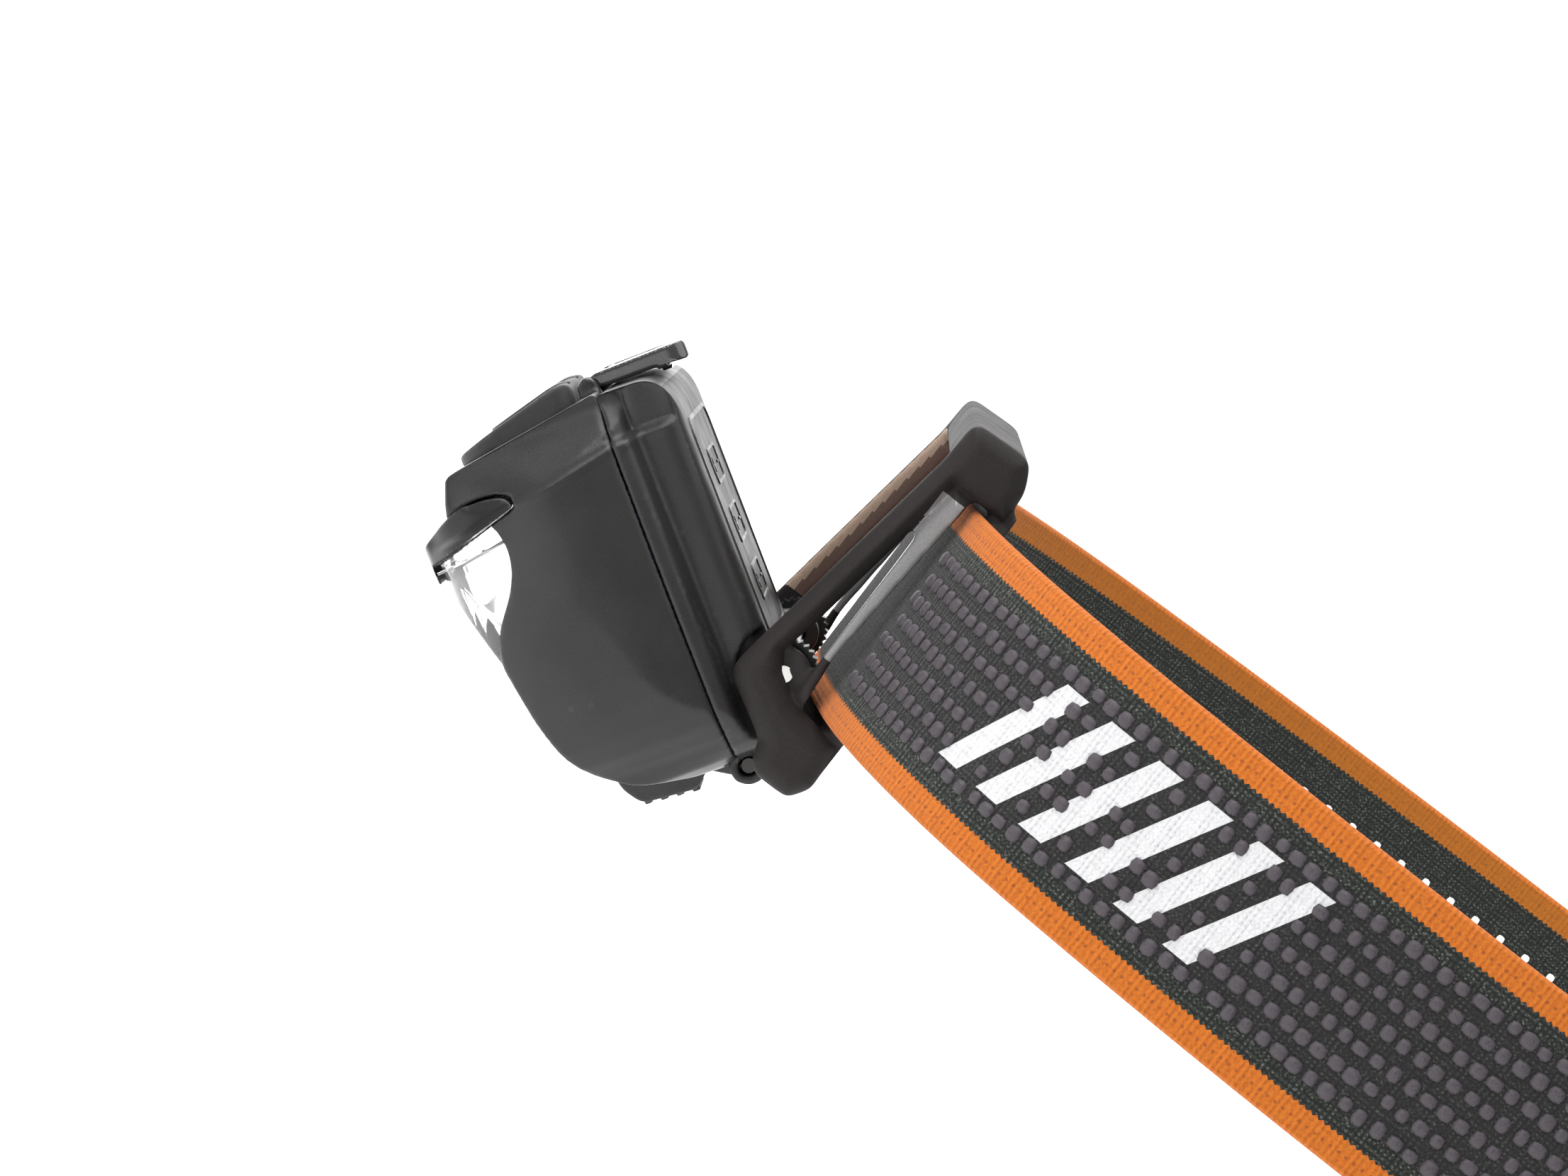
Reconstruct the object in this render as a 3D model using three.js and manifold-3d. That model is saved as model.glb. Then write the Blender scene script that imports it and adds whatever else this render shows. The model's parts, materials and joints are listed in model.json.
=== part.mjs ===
// A headlamp: a tilting lamp head in a strap bracket on an elastic headband.
// Millimetres. +Z is up, -Y is the way the wearer looks, and +X is the wearer's left.
// The origin is the middle of the back of the bracket's forehead plate.
import * as THREE from 'three';
import { mergeVertices } from 'three/addons/utils/BufferGeometryUtils.js';
import Module from 'manifold-3d';

const wasm = await Module();
wasm.setup();

// The tilt axis, which the bracket and the lamp head are both drawn from, and the lamp's angle at rest.
const TILT_AXIS = { y: -7.2, z: -13.65 };
const TILT_DEG = 58.2;
const GAP = 0.3;
const FAR = 60;
const CURVE_STEPS = 9;

// Lamp head
const SEAM_Y = -9.2;
const REAR_Y = -0.5;
const BODY_HALF = 30;
const LENS_HALF = 27.2;
const LENS_WALL = 1.8;
const BULGE_HALF = 24;
const KNUCKLE = { y: -8.3, z: -9.4, r: 2.3 };
const LATCH_AXIS = { y: -10.7, z: 38.9, r: 1.2 };
const LATCH_HALF = 10;
const PAD_HALF = 13.5;
const BUTTON_X = 6.6;
const BUTTON_Y = -18.5;
const BUTTON_R = 5.25;
const CELL_R = 5.25;
const CELL_HALF = 20.6;
const CELL_Z = [0.4, 10.6, 20.8];

// Tilt hinge
const WHEEL = { inner: 21.5, outer: 24, r: 4.1, bore: 1.35, teeth: 28 };
const PIN_R = 1;

// Bracket, from the tilt axis
const PLATE = { inner: 24.7, outer: 28 };
const PLATE_FRONT = 4.8;
const PLATE_THICK = 2.4;
const PLATE_BACK = PLATE_FRONT + PLATE_THICK;
const PLATE_R = 112;

// Headband: its middle line is tangent arcs, given as [radius, heading in degrees at the arc's end]
const STRAP = { width: 30, thick: 1.6, mid: 13.65, front: 3.7, tailGap: 0.35, flat: 20 };
const STRAP_ARCS = [[112, 13.95], [50, 64], [150, 110], [49, 180]];
const ARC_STEP_DEG = 5;

// ---------------------------------------------------------------- shape helpers

function toSolid(geometry) {
  const bare = geometry.clone();
  bare.deleteAttribute('normal');
  bare.deleteAttribute('uv');
  const merged = mergeVertices(bare, 1e-4);
  return new wasm.Manifold(new wasm.Mesh({
    numProp: 3,
    vertProperties: new Float32Array(merged.attributes.position.array),
    triVerts: new Uint32Array(merged.index.array),
  }));
}

function toGeometry(solid) {
  const made = solid.getMesh();
  const geometry = new THREE.BufferGeometry();
  geometry.setAttribute('position', new THREE.BufferAttribute(made.vertProperties.slice(), 3));
  geometry.setIndex(new THREE.BufferAttribute(made.triVerts.slice(), 1));
  geometry.computeVertexNormals();
  return geometry;
}

const joined = (solids) => solids.reduce((a, b) => a.add(b));

// A closed shape from [u, v] or [u, v, corner radius] points.
function outline(points) {
  const shape = new THREE.Shape();
  const at = (i) => new THREE.Vector2(...points[(i + points.length) % points.length].slice(0, 2));
  points.forEach((point, i) => {
    const here = at(i);
    const cut = point[2] ?? 0;
    const before = at(i - 1).sub(here);
    const after = at(i + 1).sub(here);
    const from = here.clone().add(before.setLength(Math.min(cut, before.length() * 0.49)));
    const to = here.clone().add(after.setLength(Math.min(cut, after.length() * 0.49)));
    if (i === 0) shape.moveTo(from.x, from.y);
    else shape.lineTo(from.x, from.y);
    if (cut) shape.quadraticCurveTo(here.x, here.y, to.x, to.y);
  });
  return shape;
}

function extruded(shape, depth) {
  return new THREE.ExtrudeGeometry(shape, { depth, bevelEnabled: false, curveSegments: CURVE_STEPS });
}

// A [y, z] outline from x0 to x1.
function prismX(points, x0, x1) {
  const geometry = extruded(outline(points), x1 - x0);
  const basis = new THREE.Matrix4().set(0, 0, 1, x0, 1, 0, 0, 0, 0, 1, 0, 0, 0, 0, 0, 1);
  return toSolid(geometry.applyMatrix4(basis));
}

// An [x, z] outline from y0 to y1.
function prismY(points, y0, y1) {
  return toSolid(extruded(outline(points), y1 - y0).rotateX(Math.PI / 2).translate(0, y1, 0));
}

// An [x, y] outline from z0 to z1.
function prismZ(points, z0, z1) {
  return toSolid(extruded(outline(points), z1 - z0).translate(0, 0, z0));
}

function block(x0, x1, y0, y1, z0, z1) {
  const geometry = new THREE.BoxGeometry(x1 - x0, y1 - y0, z1 - z0);
  return toSolid(geometry.translate((x0 + x1) / 2, (y0 + y1) / 2, (z0 + z1) / 2));
}

function rodX(y, z, r, x0, x1, sides = 20) {
  const geometry = new THREE.CylinderGeometry(r, r, x1 - x0, sides).rotateZ(Math.PI / 2);
  return toSolid(geometry.translate((x0 + x1) / 2, y, z));
}

function rodY(x, z, r0, r1, y0, y1, sides = 20) {
  const geometry = new THREE.CylinderGeometry(r1, r0, y1 - y0, sides);
  return toSolid(geometry.translate(x, (y0 + y1) / 2, z));
}

function rodZ(x, y, r, z0, z1, sides = 16) {
  const geometry = new THREE.CylinderGeometry(r, r, z1 - z0, sides).rotateX(Math.PI / 2);
  return toSolid(geometry.translate(x, y, (z0 + z1) / 2));
}

const mirrored = (points) => [...points, ...points.toReversed().map(([x, v, r]) => [-x, v, r])];
const bothSides = (make) => joined([1, -1].map((side) => make(side)));
const spanX = (side, a, b) => (side > 0 ? [a, b] : [-b, -a]);
const spanWithGap = ([a, b]) => [a - GAP / 2, b + GAP / 2];

const FINISH = {
  plastic: { color: 0x333333, roughness: 0.6, metalness: 0 },
  trim: { color: 0x262626, roughness: 0.5, metalness: 0 },
  bracket: { color: 0x454040, roughness: 0.65, metalness: 0 },
  rubber: { color: 0x2a2a2a, roughness: 0.8, metalness: 0 },
  clear: { color: 0xe8ecee, roughness: 0.05, metalness: 0, transparent: true, opacity: 0.35 },
  chrome: { color: 0xd8d8d8, roughness: 0.12, metalness: 1 },
  steel: { color: 0x9a9a9a, roughness: 0.35, metalness: 1 },
  aluminium: { color: 0xb4b6b8, roughness: 0.4, metalness: 1 },
  circuit: { color: 0x1d4a33, roughness: 0.5, metalness: 0 },
  led: { color: 0xf2e24a, roughness: 0.4, metalness: 0 },
  cell: { color: 0x3a5a78, roughness: 0.45, metalness: 0 },
  knit: { color: 0x2f3330, roughness: 0.9, metalness: 0 },
};

function piece(group, name, solid, finish) {
  const mesh = new THREE.Mesh(toGeometry(solid), new THREE.MeshStandardMaterial(FINISH[finish]));
  mesh.name = name;
  group.add(mesh);
}

// ---------------------------------------------------------------- lamp head, upright about the tilt axis

// The body seen from the front, inset by t.
const frontView = (t) => mirrored([
  [29 - t, -9 + t, 15 - t], [BODY_HALF + 0.3 - t, 31 - t * 0.4, 4], [22 - t, 41 - t, 5],
]);
const CHIN = [[-14.5, -8.5], [-21.4, -6.6, 2], [-25.6, -3.4, 2], [-27.8, -0.1, 2]];
const NOTCH = [
  [-30.4, 12.6, 1.5], [-29.3, 16.2, 1.5], [-25.7, 20.9, 2.5], [-24.6, 24.5, 2], [-25.1, 27.3, 0.6],
];
const HOUSING_BROW = [[-26, 29], [-30.3, 30.4], [-30.1, 31.6, 1], [-29.2, 35.2, 0.8]];
const HOUSING_SIDE = [
  [SEAM_Y - GAP / 2, -9], ...CHIN, [-29.1, 5], ...NOTCH, ...HOUSING_BROW, [SEAM_Y - GAP / 2, 38.2],
];
const HOUSING_HOLLOW = [
  [-8, -7], [-14.5, -6.4], [-20.6, -4.7], [-24.2, -2], [-26.4, 1.5], [-27.2, 5.1],
  [-FAR, 5.1], [-FAR, 26], [-25.2, 29.9], [-25.2, 33.7], [-8, 36.1],
];
const HOUSING_PLAN = mirrored([[28, -9], [BODY_HALF, -17, 6], [29.6, -30, 5], [26, -35.5, 4]]);

function bodyIn(side, plan, inset, halfWidth) {
  return prismX(side, -halfWidth, halfWidth)
    .intersect(prismY(frontView(inset), -FAR, FAR))
    .intersect(prismZ(plan, -FAR, FAR));
}

const HOUSING_KNUCKLE = [8, 14];
const COVER_KNUCKLE = [14 + GAP, 19.5];
const KNUCKLE_ROOM = KNUCKLE.r + 0.5;
const latchLugs = [LATCH_HALF + GAP, LATCH_HALF + 2.3];

function frontHousing() {
  const hollow = prismX(HOUSING_HOLLOW, -27.5, 27.5).intersect(prismY(frontView(2.2), -FAR, FAR));
  const knuckles = bothSides((s) => joined([
    rodX(KNUCKLE.y, KNUCKLE.z, KNUCKLE.r, ...spanX(s, ...HOUSING_KNUCKLE)),
    prismX([[-9.5, -11.4], [-9.5, -8], [-15, -8]], ...spanX(s, ...HOUSING_KNUCKLE)),
  ]));
  const room = spanWithGap(COVER_KNUCKLE);
  const coverRoom = bothSides((s) => rodX(KNUCKLE.y, KNUCKLE.z, KNUCKLE_ROOM, ...spanX(s, ...room)));
  const lugs = bothSides((s) => joined([
    rodX(LATCH_AXIS.y, LATCH_AXIS.z, LATCH_AXIS.r, ...spanX(s, ...latchLugs)),
    prismX([[-11.9, 37.2], [-9.5, 37.2], [-9.5, 38.9], [-11.9, 38.9]], ...spanX(s, ...latchLugs)),
  ]));
  const latchRoom = joined([
    rodX(LATCH_AXIS.y, LATCH_AXIS.z, LATCH_AXIS.r + GAP, -LATCH_HALF - GAP, LATCH_HALF + GAP),
    block(-LATCH_HALF - GAP, LATCH_HALF + GAP, LATCH_AXIS.y, 0, 38, 45),
  ]);
  const buttonHoles = bothSides((s) => rodZ(s * BUTTON_X, BUTTON_Y, 4.3, 30, 45));
  const padSeat = prismX([[-28.6, 34.95], [-28.6, 45], [-12.3, 45], [-12.3, 36.9]], -PAD_HALF, PAD_HALF);
  return bodyIn(HOUSING_SIDE, HOUSING_PLAN, 0, FAR)
    .subtract(prismX(VISOR_SEAT, -FAR, FAR))
    .subtract(hollow)
    .add(knuckles)
    .subtract(coverRoom)
    .add(lugs)
    .subtract(latchRoom)
    .subtract(padSeat)
    .subtract(buttonHoles)
    .subtract(rodX(LATCH_AXIS.y, LATCH_AXIS.z, 0.8, -12, 12, 12))
    .subtract(rodX(KNUCKLE.y, KNUCKLE.z, 1.2, -FAR, FAR, 14))
    .subtract(prismX(PLUG_SEAT, -6.5, 6.5))
    .subtract(block(-4.9, 4.9, -21.5, -17.5, -12, 0));
}

// The rubber plug and the shallow seat that it closes.
const PLUG_SIDE = [
  [-25.4, -2.9], [-25.6, -3.9], [-24.9, -8.3, 1], [-23.2, -10.7, 1], [-16.3, -11.4, 1], [-14.6, -9.9],
  [-14.2, -7.9], [-21.1, -6.1],
];
const PLUG_SEAT = [[-29, 0], [-24.9, -2.3], [-20.9, -5.6], [-13.2, -7.3], [-13.2, -15], [-29, -15]];

// The visor over the lens, with a tail let into each flank, and the seat that it fills.
const VISOR_SIDE = [
  [-34.5, 26], [-34.1, 23.6], [-34.6, 23.7], [-36, 27.1, 0.5], [-29.9, 30.65, 3], [-26.5, 31.55, 2],
  [-22.9, 30.9, 1.2], [-22.2, 29.5, 0.4], [-25.8, 28.45],
];
const VISOR_SEAT = [
  [-36.3, 27.2], [-30, 30.85, 3], [-26.5, 31.75, 2], [-22.75, 31.1, 1.2], [-22, 29.4, 0.4], [-25.8, 28.25],
  [-36.3, 25.2],
];

function visor() {
  const plan = mirrored([[30, -21], [29.6, -29.5, 3], [25, -34, 6], [14, -35.6, 8]]);
  const innerRoom = block(-27.3, 27.3, -25.3, 0, 20, 40);
  return bodyIn(VISOR_SIDE, plan, 0, FAR).subtract(innerRoom);
}

const LENS_SIDE = [[-28.1, 5.4], [-34.3, 25.3], [-33.9, 25.9], [-23.6, 28.9], [-23.6, 5.4]];
const LENS_HOLLOW = [[-26.3, 6.9], [-31.6, 24], [-30.9, 25.1], [-20, 27.1], [-20, 6.9]];
// What lies in front of the reflectors, just behind the lens.
const LENS_ROOM = [[-25.1, 4], [-32.5, 28], [-FAR, 28], [-FAR, 4]];
const LENS_PLAN = mirrored([[LENS_HALF, -20], [LENS_HALF, -30, 3], [24, -33.2, 5], [13, -34.6, 6]]);

function frontLens() {
  const outer = prismX(LENS_SIDE, -LENS_HALF, LENS_HALF)
    .intersect(prismZ(LENS_PLAN, -FAR, FAR))
    .intersect(prismY(frontView(2.7), -FAR, FAR));
  const hollow = prismX(LENS_HOLLOW, -LENS_HALF + LENS_WALL, LENS_HALF - LENS_WALL)
    .intersect(prismZ(LENS_PLAN, -FAR, FAR).translate([0, LENS_WALL, 0]));
  return outer.subtract(hollow);
}

function lensSeal() {
  return block(-26.5, 26.5, -23.3, -22.3, 6, 27).subtract(block(-24.6, 24.6, -24, -22, 7.6, 25.4));
}

const LED_Z = 16;
const SPOT_X = -12.5;
const FLOOD_X = [7.6, 17.6];

// A bowl turned from [radius, distance forward] points, cut to follow the lens.
function spotReflector() {
  const profile = [
    [2.6, 0], [4.2, 0.5], [6.2, 2.2], [7.6, 3.9], [8.6, 5.2], [9, 5.2], [9, 4.6], [7.6, 2.6], [5.6, 0],
    [4, -0.6], [2.6, -0.6], [2.6, 0],
  ].map(([r, along]) => new THREE.Vector2(r, -along));
  const bowl = new THREE.LatheGeometry(profile, 32);
  return toSolid(bowl.translate(SPOT_X, -22.2, LED_Z)).subtract(prismX(LENS_ROOM, -FAR, FAR));
}

function floodReflector() {
  const tray = prismX([[-21.7, 8], [-26.9, 7.2], [-27.6, 24.6], [-21.7, 24]], 1, 24.2)
    .subtract(prismX(LENS_ROOM, -FAR, FAR));
  const well = prismX([[-22.5, 9.2], [-30, 8.4], [-30, 23.6], [-22.5, 22.8]], 2.6, 22.6);
  const holes = joined(FLOOD_X.map((x) => block(x - 2.1, x + 2.1, -24, -20, LED_Z - 2.1, LED_Z + 2.1)));
  return tray.subtract(well).subtract(holes);
}

const ledAt = (x, half) => block(x - half, x + half, -22.1, -21.25, LED_Z - half, LED_Z + half);

const SCREWS = [[-22, 25], [22, 25], [-22, 9], [22, 9]];
const screwHoles = joined(SCREWS.map(([x, z]) => rodY(x, z, 1.6, 1.6, -FAR, FAR, 12)));

const ledBoard = () => block(-24.6, 24.6, -20.9, -19.7, 6, 28).subtract(screwHoles);

function heatSink() {
  const plate = block(-24.6, 24.6, -19.4, -18.3, 6, 28);
  const fins = joined([-15, -9, -3, 3, 9, 15].map((x) => block(x - 0.5, x + 0.5, -18.5, -17.6, 7, 27)));
  return plate.add(fins).subtract(screwHoles);
}

function boardScrew([x, z]) {
  return rodY(x, z, 1.2, 1.2, -21.1, -17.7, 12).add(rodY(x, z, 2.2, 2.2, -18, -17.4, 16))
    .subtract(block(x - 1.3, x + 1.3, -17.6, -16, z - 0.3, z + 0.3));
}

const batteryPack = () => joined(CELL_Z.map((z) => rodX(-12, z, CELL_R, -CELL_HALF, CELL_HALF, 24)));

function contactSpring() {
  const strip = block(-23.2, -22.7, -14.5, -10.2, -1, 26);
  const nibs = joined(CELL_Z.map((z) => block(-22.9, -20.9, -12.6, -11.4, z - 0.6, z + 0.6)));
  return strip.add(nibs);
}

function buttonPad() {
  const side = [
    [-28.3, 35.15], [-28.3, 36.5, 0.8], [-24.5, 37.75, 2], [-14, 40.5, 1.5], [-12.6, 40.1, 1], [-12.6, 37.3],
  ];
  const plan = mirrored([[PAD_HALF - GAP, -12.6, 3], [PAD_HALF - GAP, -28.3, 5]]);
  const wells = bothSides((s) => rodZ(s * BUTTON_X, BUTTON_Y, BUTTON_R + 0.35, 30, 45, 24));
  return prismX(side, -FAR, FAR).intersect(prismZ(plan, -FAR, FAR)).subtract(wells);
}

// A cap that slopes with the pad and has a shallow dish for the finger.
function pushButton(side) {
  const x = side * BUTTON_X;
  const cap = prismX([[-24, 36.3], [-24, 38.15], [-14.6, 40.6, 1.2], [-13, 40.4], [-13, 37.6]], -FAR, FAR)
    .intersect(rodZ(x, BUTTON_Y, BUTTON_R, 30, 45, 24));
  const dish = toSolid(new THREE.SphereGeometry(16, 32, 20).translate(x, -22.4, 54.6));
  return cap.subtract(dish)
    .add(rodZ(x, BUTTON_Y, 3.7, 35, 38))
    .add(rodZ(x, BUTTON_Y, 1.6, 34.9, 35.4));
}

function latchLever() {
  const side = [[-11, 38.9], [-9, 38.2], [-2.2, 38.15], [-2, 37.3], [-0.9, 37.3], [-0.6, 38.1],
    [1.9, 37.9, 0.6], [1.9, 40.2, 0.6], [-9.6, 40.1]];
  const nub = block(-FAR, -4.5, -FAR, FAR, 0, 37.8).add(block(4.5, FAR, -FAR, FAR, 0, 37.8));
  const plan = mirrored([[LATCH_HALF, -12], [LATCH_HALF, 1.9, 2.2]]);
  const tab = prismX(side, -LATCH_HALF, LATCH_HALF).subtract(nub).intersect(prismZ(plan, -FAR, FAR));
  return tab.add(rodX(LATCH_AXIS.y, LATCH_AXIS.z, LATCH_AXIS.r, -LATCH_HALF, LATCH_HALF))
    .subtract(rodX(LATCH_AXIS.y, LATCH_AXIS.z, 0.8, -FAR, FAR, 12));
}

const COVER_SIDE = [
  [SEAM_Y + GAP / 2, -8.9], [-6.5, -8.5, 1.2], [-3.6, -7.2, 1.2], [-1.4, -5.2, 1.2], [REAR_Y, -3.5, 1.5],
  [REAR_Y, 37.6, 6], [SEAM_Y + GAP / 2, 37.9],
];
const COVER_HOLLOW = [
  [-10, -7.1], [-5.8, -6.9], [-2.6, -4.4], [REAR_Y - 1.8, -2], [REAR_Y - 1.8, 35.7, 4], [-10, 35.9],
];
const COVER_PLAN = mirrored([
  [28, -9.1], [27.6, -7.2, 0.8], [BULGE_HALF, -6.1, 0.8], [BULGE_HALF, REAR_Y, 4],
]);

function rearCover() {
  const hollow = prismX(COVER_HOLLOW, -22, 22)
    .add(block(-25.4, 25.4, -10, -7.4, -7, 35.8))
    .intersect(prismY(frontView(2.2), -FAR, FAR));
  const knuckles = bothSides((s) => joined([
    rodX(KNUCKLE.y, KNUCKLE.z, KNUCKLE.r, ...spanX(s, ...COVER_KNUCKLE)),
    prismX([[-8.9, -11.4], [-5.2, -8.2], [-8.9, -8.2]], ...spanX(s, ...COVER_KNUCKLE)),
  ]));
  const room = spanWithGap(HOUSING_KNUCKLE);
  const housingRoom = bothSides((s) => rodX(KNUCKLE.y, KNUCKLE.z, KNUCKLE_ROOM, ...spanX(s, ...room)));
  const lugs = bothSides((s) => rodX(0, 0, 3, ...spanX(s, 17, 21.2), 24));
  const wheelRoom = bothSides((s) => rodX(0, 0, 5.8, ...spanX(s, 21.2, FAR), 28));
  const axleRoom = block(-17, 17, -3, 3, -2.2, 2.2);
  return bodyIn(COVER_SIDE, COVER_PLAN, 0, FAR)
    .subtract(hollow)
    .add(knuckles)
    .subtract(housingRoom)
    .add(lugs)
    .subtract(wheelRoom)
    .add(coverWeb())
    .subtract(axleRoom)
    .subtract(rodX(0, 0, WHEEL.bore, -FAR, FAR))
    .subtract(rodX(KNUCKLE.y, KNUCKLE.z, 1.2, -FAR, FAR, 14));
}

// The inner wall behind the wheel pockets, which closes the cover's hollow there.
function coverWeb() {
  return bothSides((s) => prismX(
    [[-5.9, -6.5], [-2, -6], [-0.6, -2], [-0.6, 6.5], [-5.9, 6.5]], ...spanX(s, 19.6, 21.2),
  ));
}

function ratchetWheel(side) {
  const shape = new THREE.Shape();
  const steps = WHEEL.teeth * 2;
  for (let i = 0; i < steps; i++) {
    const angle = (i / steps) * Math.PI * 2;
    const r = i % 2 ? WHEEL.r - 0.45 : WHEEL.r;
    const at = [r * Math.cos(angle), r * Math.sin(angle)];
    if (i) shape.lineTo(...at);
    else shape.moveTo(...at);
  }
  const [x0, x1] = spanX(side, WHEEL.inner, WHEEL.outer);
  const basis = new THREE.Matrix4().set(0, 0, 1, x0, 1, 0, 0, 0, 0, 1, 0, 0, 0, 0, 0, 1);
  return toSolid(extruded(shape, x1 - x0).applyMatrix4(basis)).subtract(rodX(0, 0, WHEEL.bore, -FAR, FAR));
}

function coverSeal() {
  const edge = (t) => mirrored([[24.9 - t, -6.5 + t, 10 - t], [24.9 - t, 34.8 - t, 3]]);
  return prismY(edge(0), -8.9, -8.2).subtract(prismY(edge(1.2), -FAR, FAR));
}

function lampHead() {
  const lamp = new THREE.Group();
  lamp.position.set(0, TILT_AXIS.y, TILT_AXIS.z);
  lamp.rotation.x = THREE.MathUtils.degToRad(TILT_DEG);
  piece(lamp, 'rear_cover', rearCover(), 'plastic');
  piece(lamp, 'cover_seal', coverSeal(), 'rubber');
  piece(lamp, 'ratchet_wheel_left', ratchetWheel(1), 'trim');
  piece(lamp, 'ratchet_wheel_right', ratchetWheel(-1), 'trim');
  piece(lamp, 'front_housing', frontHousing(), 'plastic');
  piece(lamp, 'brow_trim', visor(), 'trim');
  piece(lamp, 'front_lens', frontLens(), 'clear');
  piece(lamp, 'lens_seal', lensSeal(), 'rubber');
  piece(lamp, 'spot_reflector', spotReflector(), 'chrome');
  piece(lamp, 'flood_reflector', floodReflector(), 'chrome');
  piece(lamp, 'spot_led', ledAt(SPOT_X, 1.6), 'led');
  piece(lamp, 'flood_led_inner', ledAt(FLOOD_X[0], 1.7), 'led');
  piece(lamp, 'flood_led_outer', ledAt(FLOOD_X[1], 1.7), 'led');
  piece(lamp, 'led_board', ledBoard(), 'circuit');
  piece(lamp, 'heat_sink', heatSink(), 'aluminium');
  SCREWS.forEach((at, i) => piece(lamp, `board_screw_${i + 1}`, boardScrew(at), 'steel'));
  piece(lamp, 'driver_board', block(-22, 22, -23.5, -11.5, 30.6, 31.6), 'circuit');
  piece(lamp, 'power_switch', switchOn(1), 'steel');
  piece(lamp, 'mode_switch', switchOn(-1), 'steel');
  piece(lamp, 'usb_socket', usbSocket(), 'steel');
  piece(lamp, 'battery_pack', batteryPack(), 'cell');
  piece(lamp, 'contact_spring', contactSpring(), 'steel');
  piece(lamp, 'contact_plate', block(20.9, 21.4, -14.5, -10.2, -3, 26), 'steel');
  piece(lamp, 'button_pad', buttonPad(), 'rubber');
  piece(lamp, 'power_button', pushButton(1), 'rubber');
  piece(lamp, 'mode_button', pushButton(-1), 'rubber');
  piece(lamp, 'latch_lever', latchLever(), 'trim');
  piece(lamp, 'latch_pin', rodX(LATCH_AXIS.y, LATCH_AXIS.z, 0.5, -11.8, 11.8, 12), 'steel');
  piece(lamp, 'cover_hinge_pin', rodX(KNUCKLE.y, KNUCKLE.z, 0.9, -19.3, 19.3, 14), 'steel');
  piece(lamp, 'port_plug', portPlug(), 'rubber');
  return lamp;
}

function switchOn(side) {
  const x = side * BUTTON_X;
  return block(x - 2.6, x + 2.6, -21.1, -15.9, 31.9, 33.2).add(rodZ(x, BUTTON_Y, 1.3, 33, 33.9));
}

function usbSocket() {
  return block(-4.5, 4.5, -21.1, -17.9, -4.9, 3).subtract(block(-3.9, 3.9, -20.5, -18.5, -6, 2.2));
}

function portPlug() {
  const stub = block(-3.5, 3.5, -20.1, -18.9, -7.5, -4.4);
  const ribs = joined([-22.6, -20.6, -18.6, -16.6].map(
    (y) => block(-4.6, 4.6, y - 0.5, y + 0.5, -13.47 - 0.1 * y, -9.4),
  ));
  return prismX(PLUG_SIDE, -6.2, 6.2).add(stub).add(ribs);
}

// ---------------------------------------------------------------- bracket, from the tilt axis

const ARM_SIDE = [
  [-5.4, -2.6, 1.5], [-4.6, -4, 1], [2.4, -7.9, 1.5], [2.9, -10.2, 1], [4.4, -11.5, 1], [9, -11.5, 1],
  [10.7, -8.9, 1], [10.2, -3], [5, -2.3], [3, -1.8], [-0.3, 0.2, 1], [-1.7, 2.4, 1], [-0.7, 6.9], [2.6, 29.4],
  [9.5, 29.4, 1], [9.5, 33.5, 1.5], [7.6, 37.1, 1.5], [-0.2, 36.8, 1.5], [-0.4, 31.2],
];
const BLADE_SIDE = [
  [2.2, 31], [2.4, 18, 8], [2.3, 5], [2.6, -3], [4.2, -3], [3.4, 5], [4.2, 17, 8], [5.2, 31],
];

// The curved sheet that lies between two distances from the forehead, over a height.
function curvedPlate(front, thick, halfWidth, z0, z1) {
  const sag = (x) => x * x / (2 * PLATE_R);
  const steps = [-1, -0.8, -0.6, -0.4, -0.2, 0, 0.2, 0.4, 0.6, 0.8, 1].map((k) => k * halfWidth);
  const points = [
    ...steps.map((x) => [x, front + sag(x)]),
    ...steps.toReversed().map((x) => [x, front + thick + sag(x)]),
  ];
  return prismZ(points, z0, z1);
}

function bracketFrame() {
  const sides = bothSides((s) => prismX(ARM_SIDE, ...spanX(s, PLATE.inner, PLATE.outer)));
  const blades = bothSides((s) => prismX(BLADE_SIDE, ...spanX(s, 26.4, PLATE.outer)));
  const ears = bothSides((s) => rodX(0, 0, 3.2, ...spanX(s, PLATE.inner - 0.2, 27), 24));
  const topBar = prismX(
    [[-0.2, 31.5, 1], [-0.2, 36.8, 1.5], [7.6, 37.1, 1.5], [9.5, 33.5, 1.5], [9.5, 30.2, 1], [2.6, 30.2]],
    -PLATE.outer, PLATE.outer,
  );
  const forehead = curvedPlate(PLATE_FRONT, PLATE_THICK, PLATE.outer, -8, 31);
  const flatRest = block(-9, 9, PLATE_BACK, PLATE_BACK + 1, 5, 22);
  const bores = bothSides((s) => rodX(0, 0, PIN_R + GAP, ...spanX(s, 20, 26.8)));
  return joined([sides, blades, ears, topBar, forehead])
    .subtract(flatRest)
    .subtract(bores)
    .subtract(strapRoom());
}

// The slot that the headband runs through.
function strapRoom() {
  return curvedPlate(STRAP.front - STRAP.thick / 2 - GAP, STRAP.thick + 2 * GAP, 33, -1.65, 28.95);
}

function clickSpring(side) {
  const leaf = [[6.5, -3.95], [6.5, -3.5], [4.6, -2.9], [4.2, -1.8], [3.9, -1.95], [4.3, -3.25]];
  return prismX(leaf, ...spanX(side, 21.7, 23.8));
}

// ---------------------------------------------------------------- headband

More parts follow.
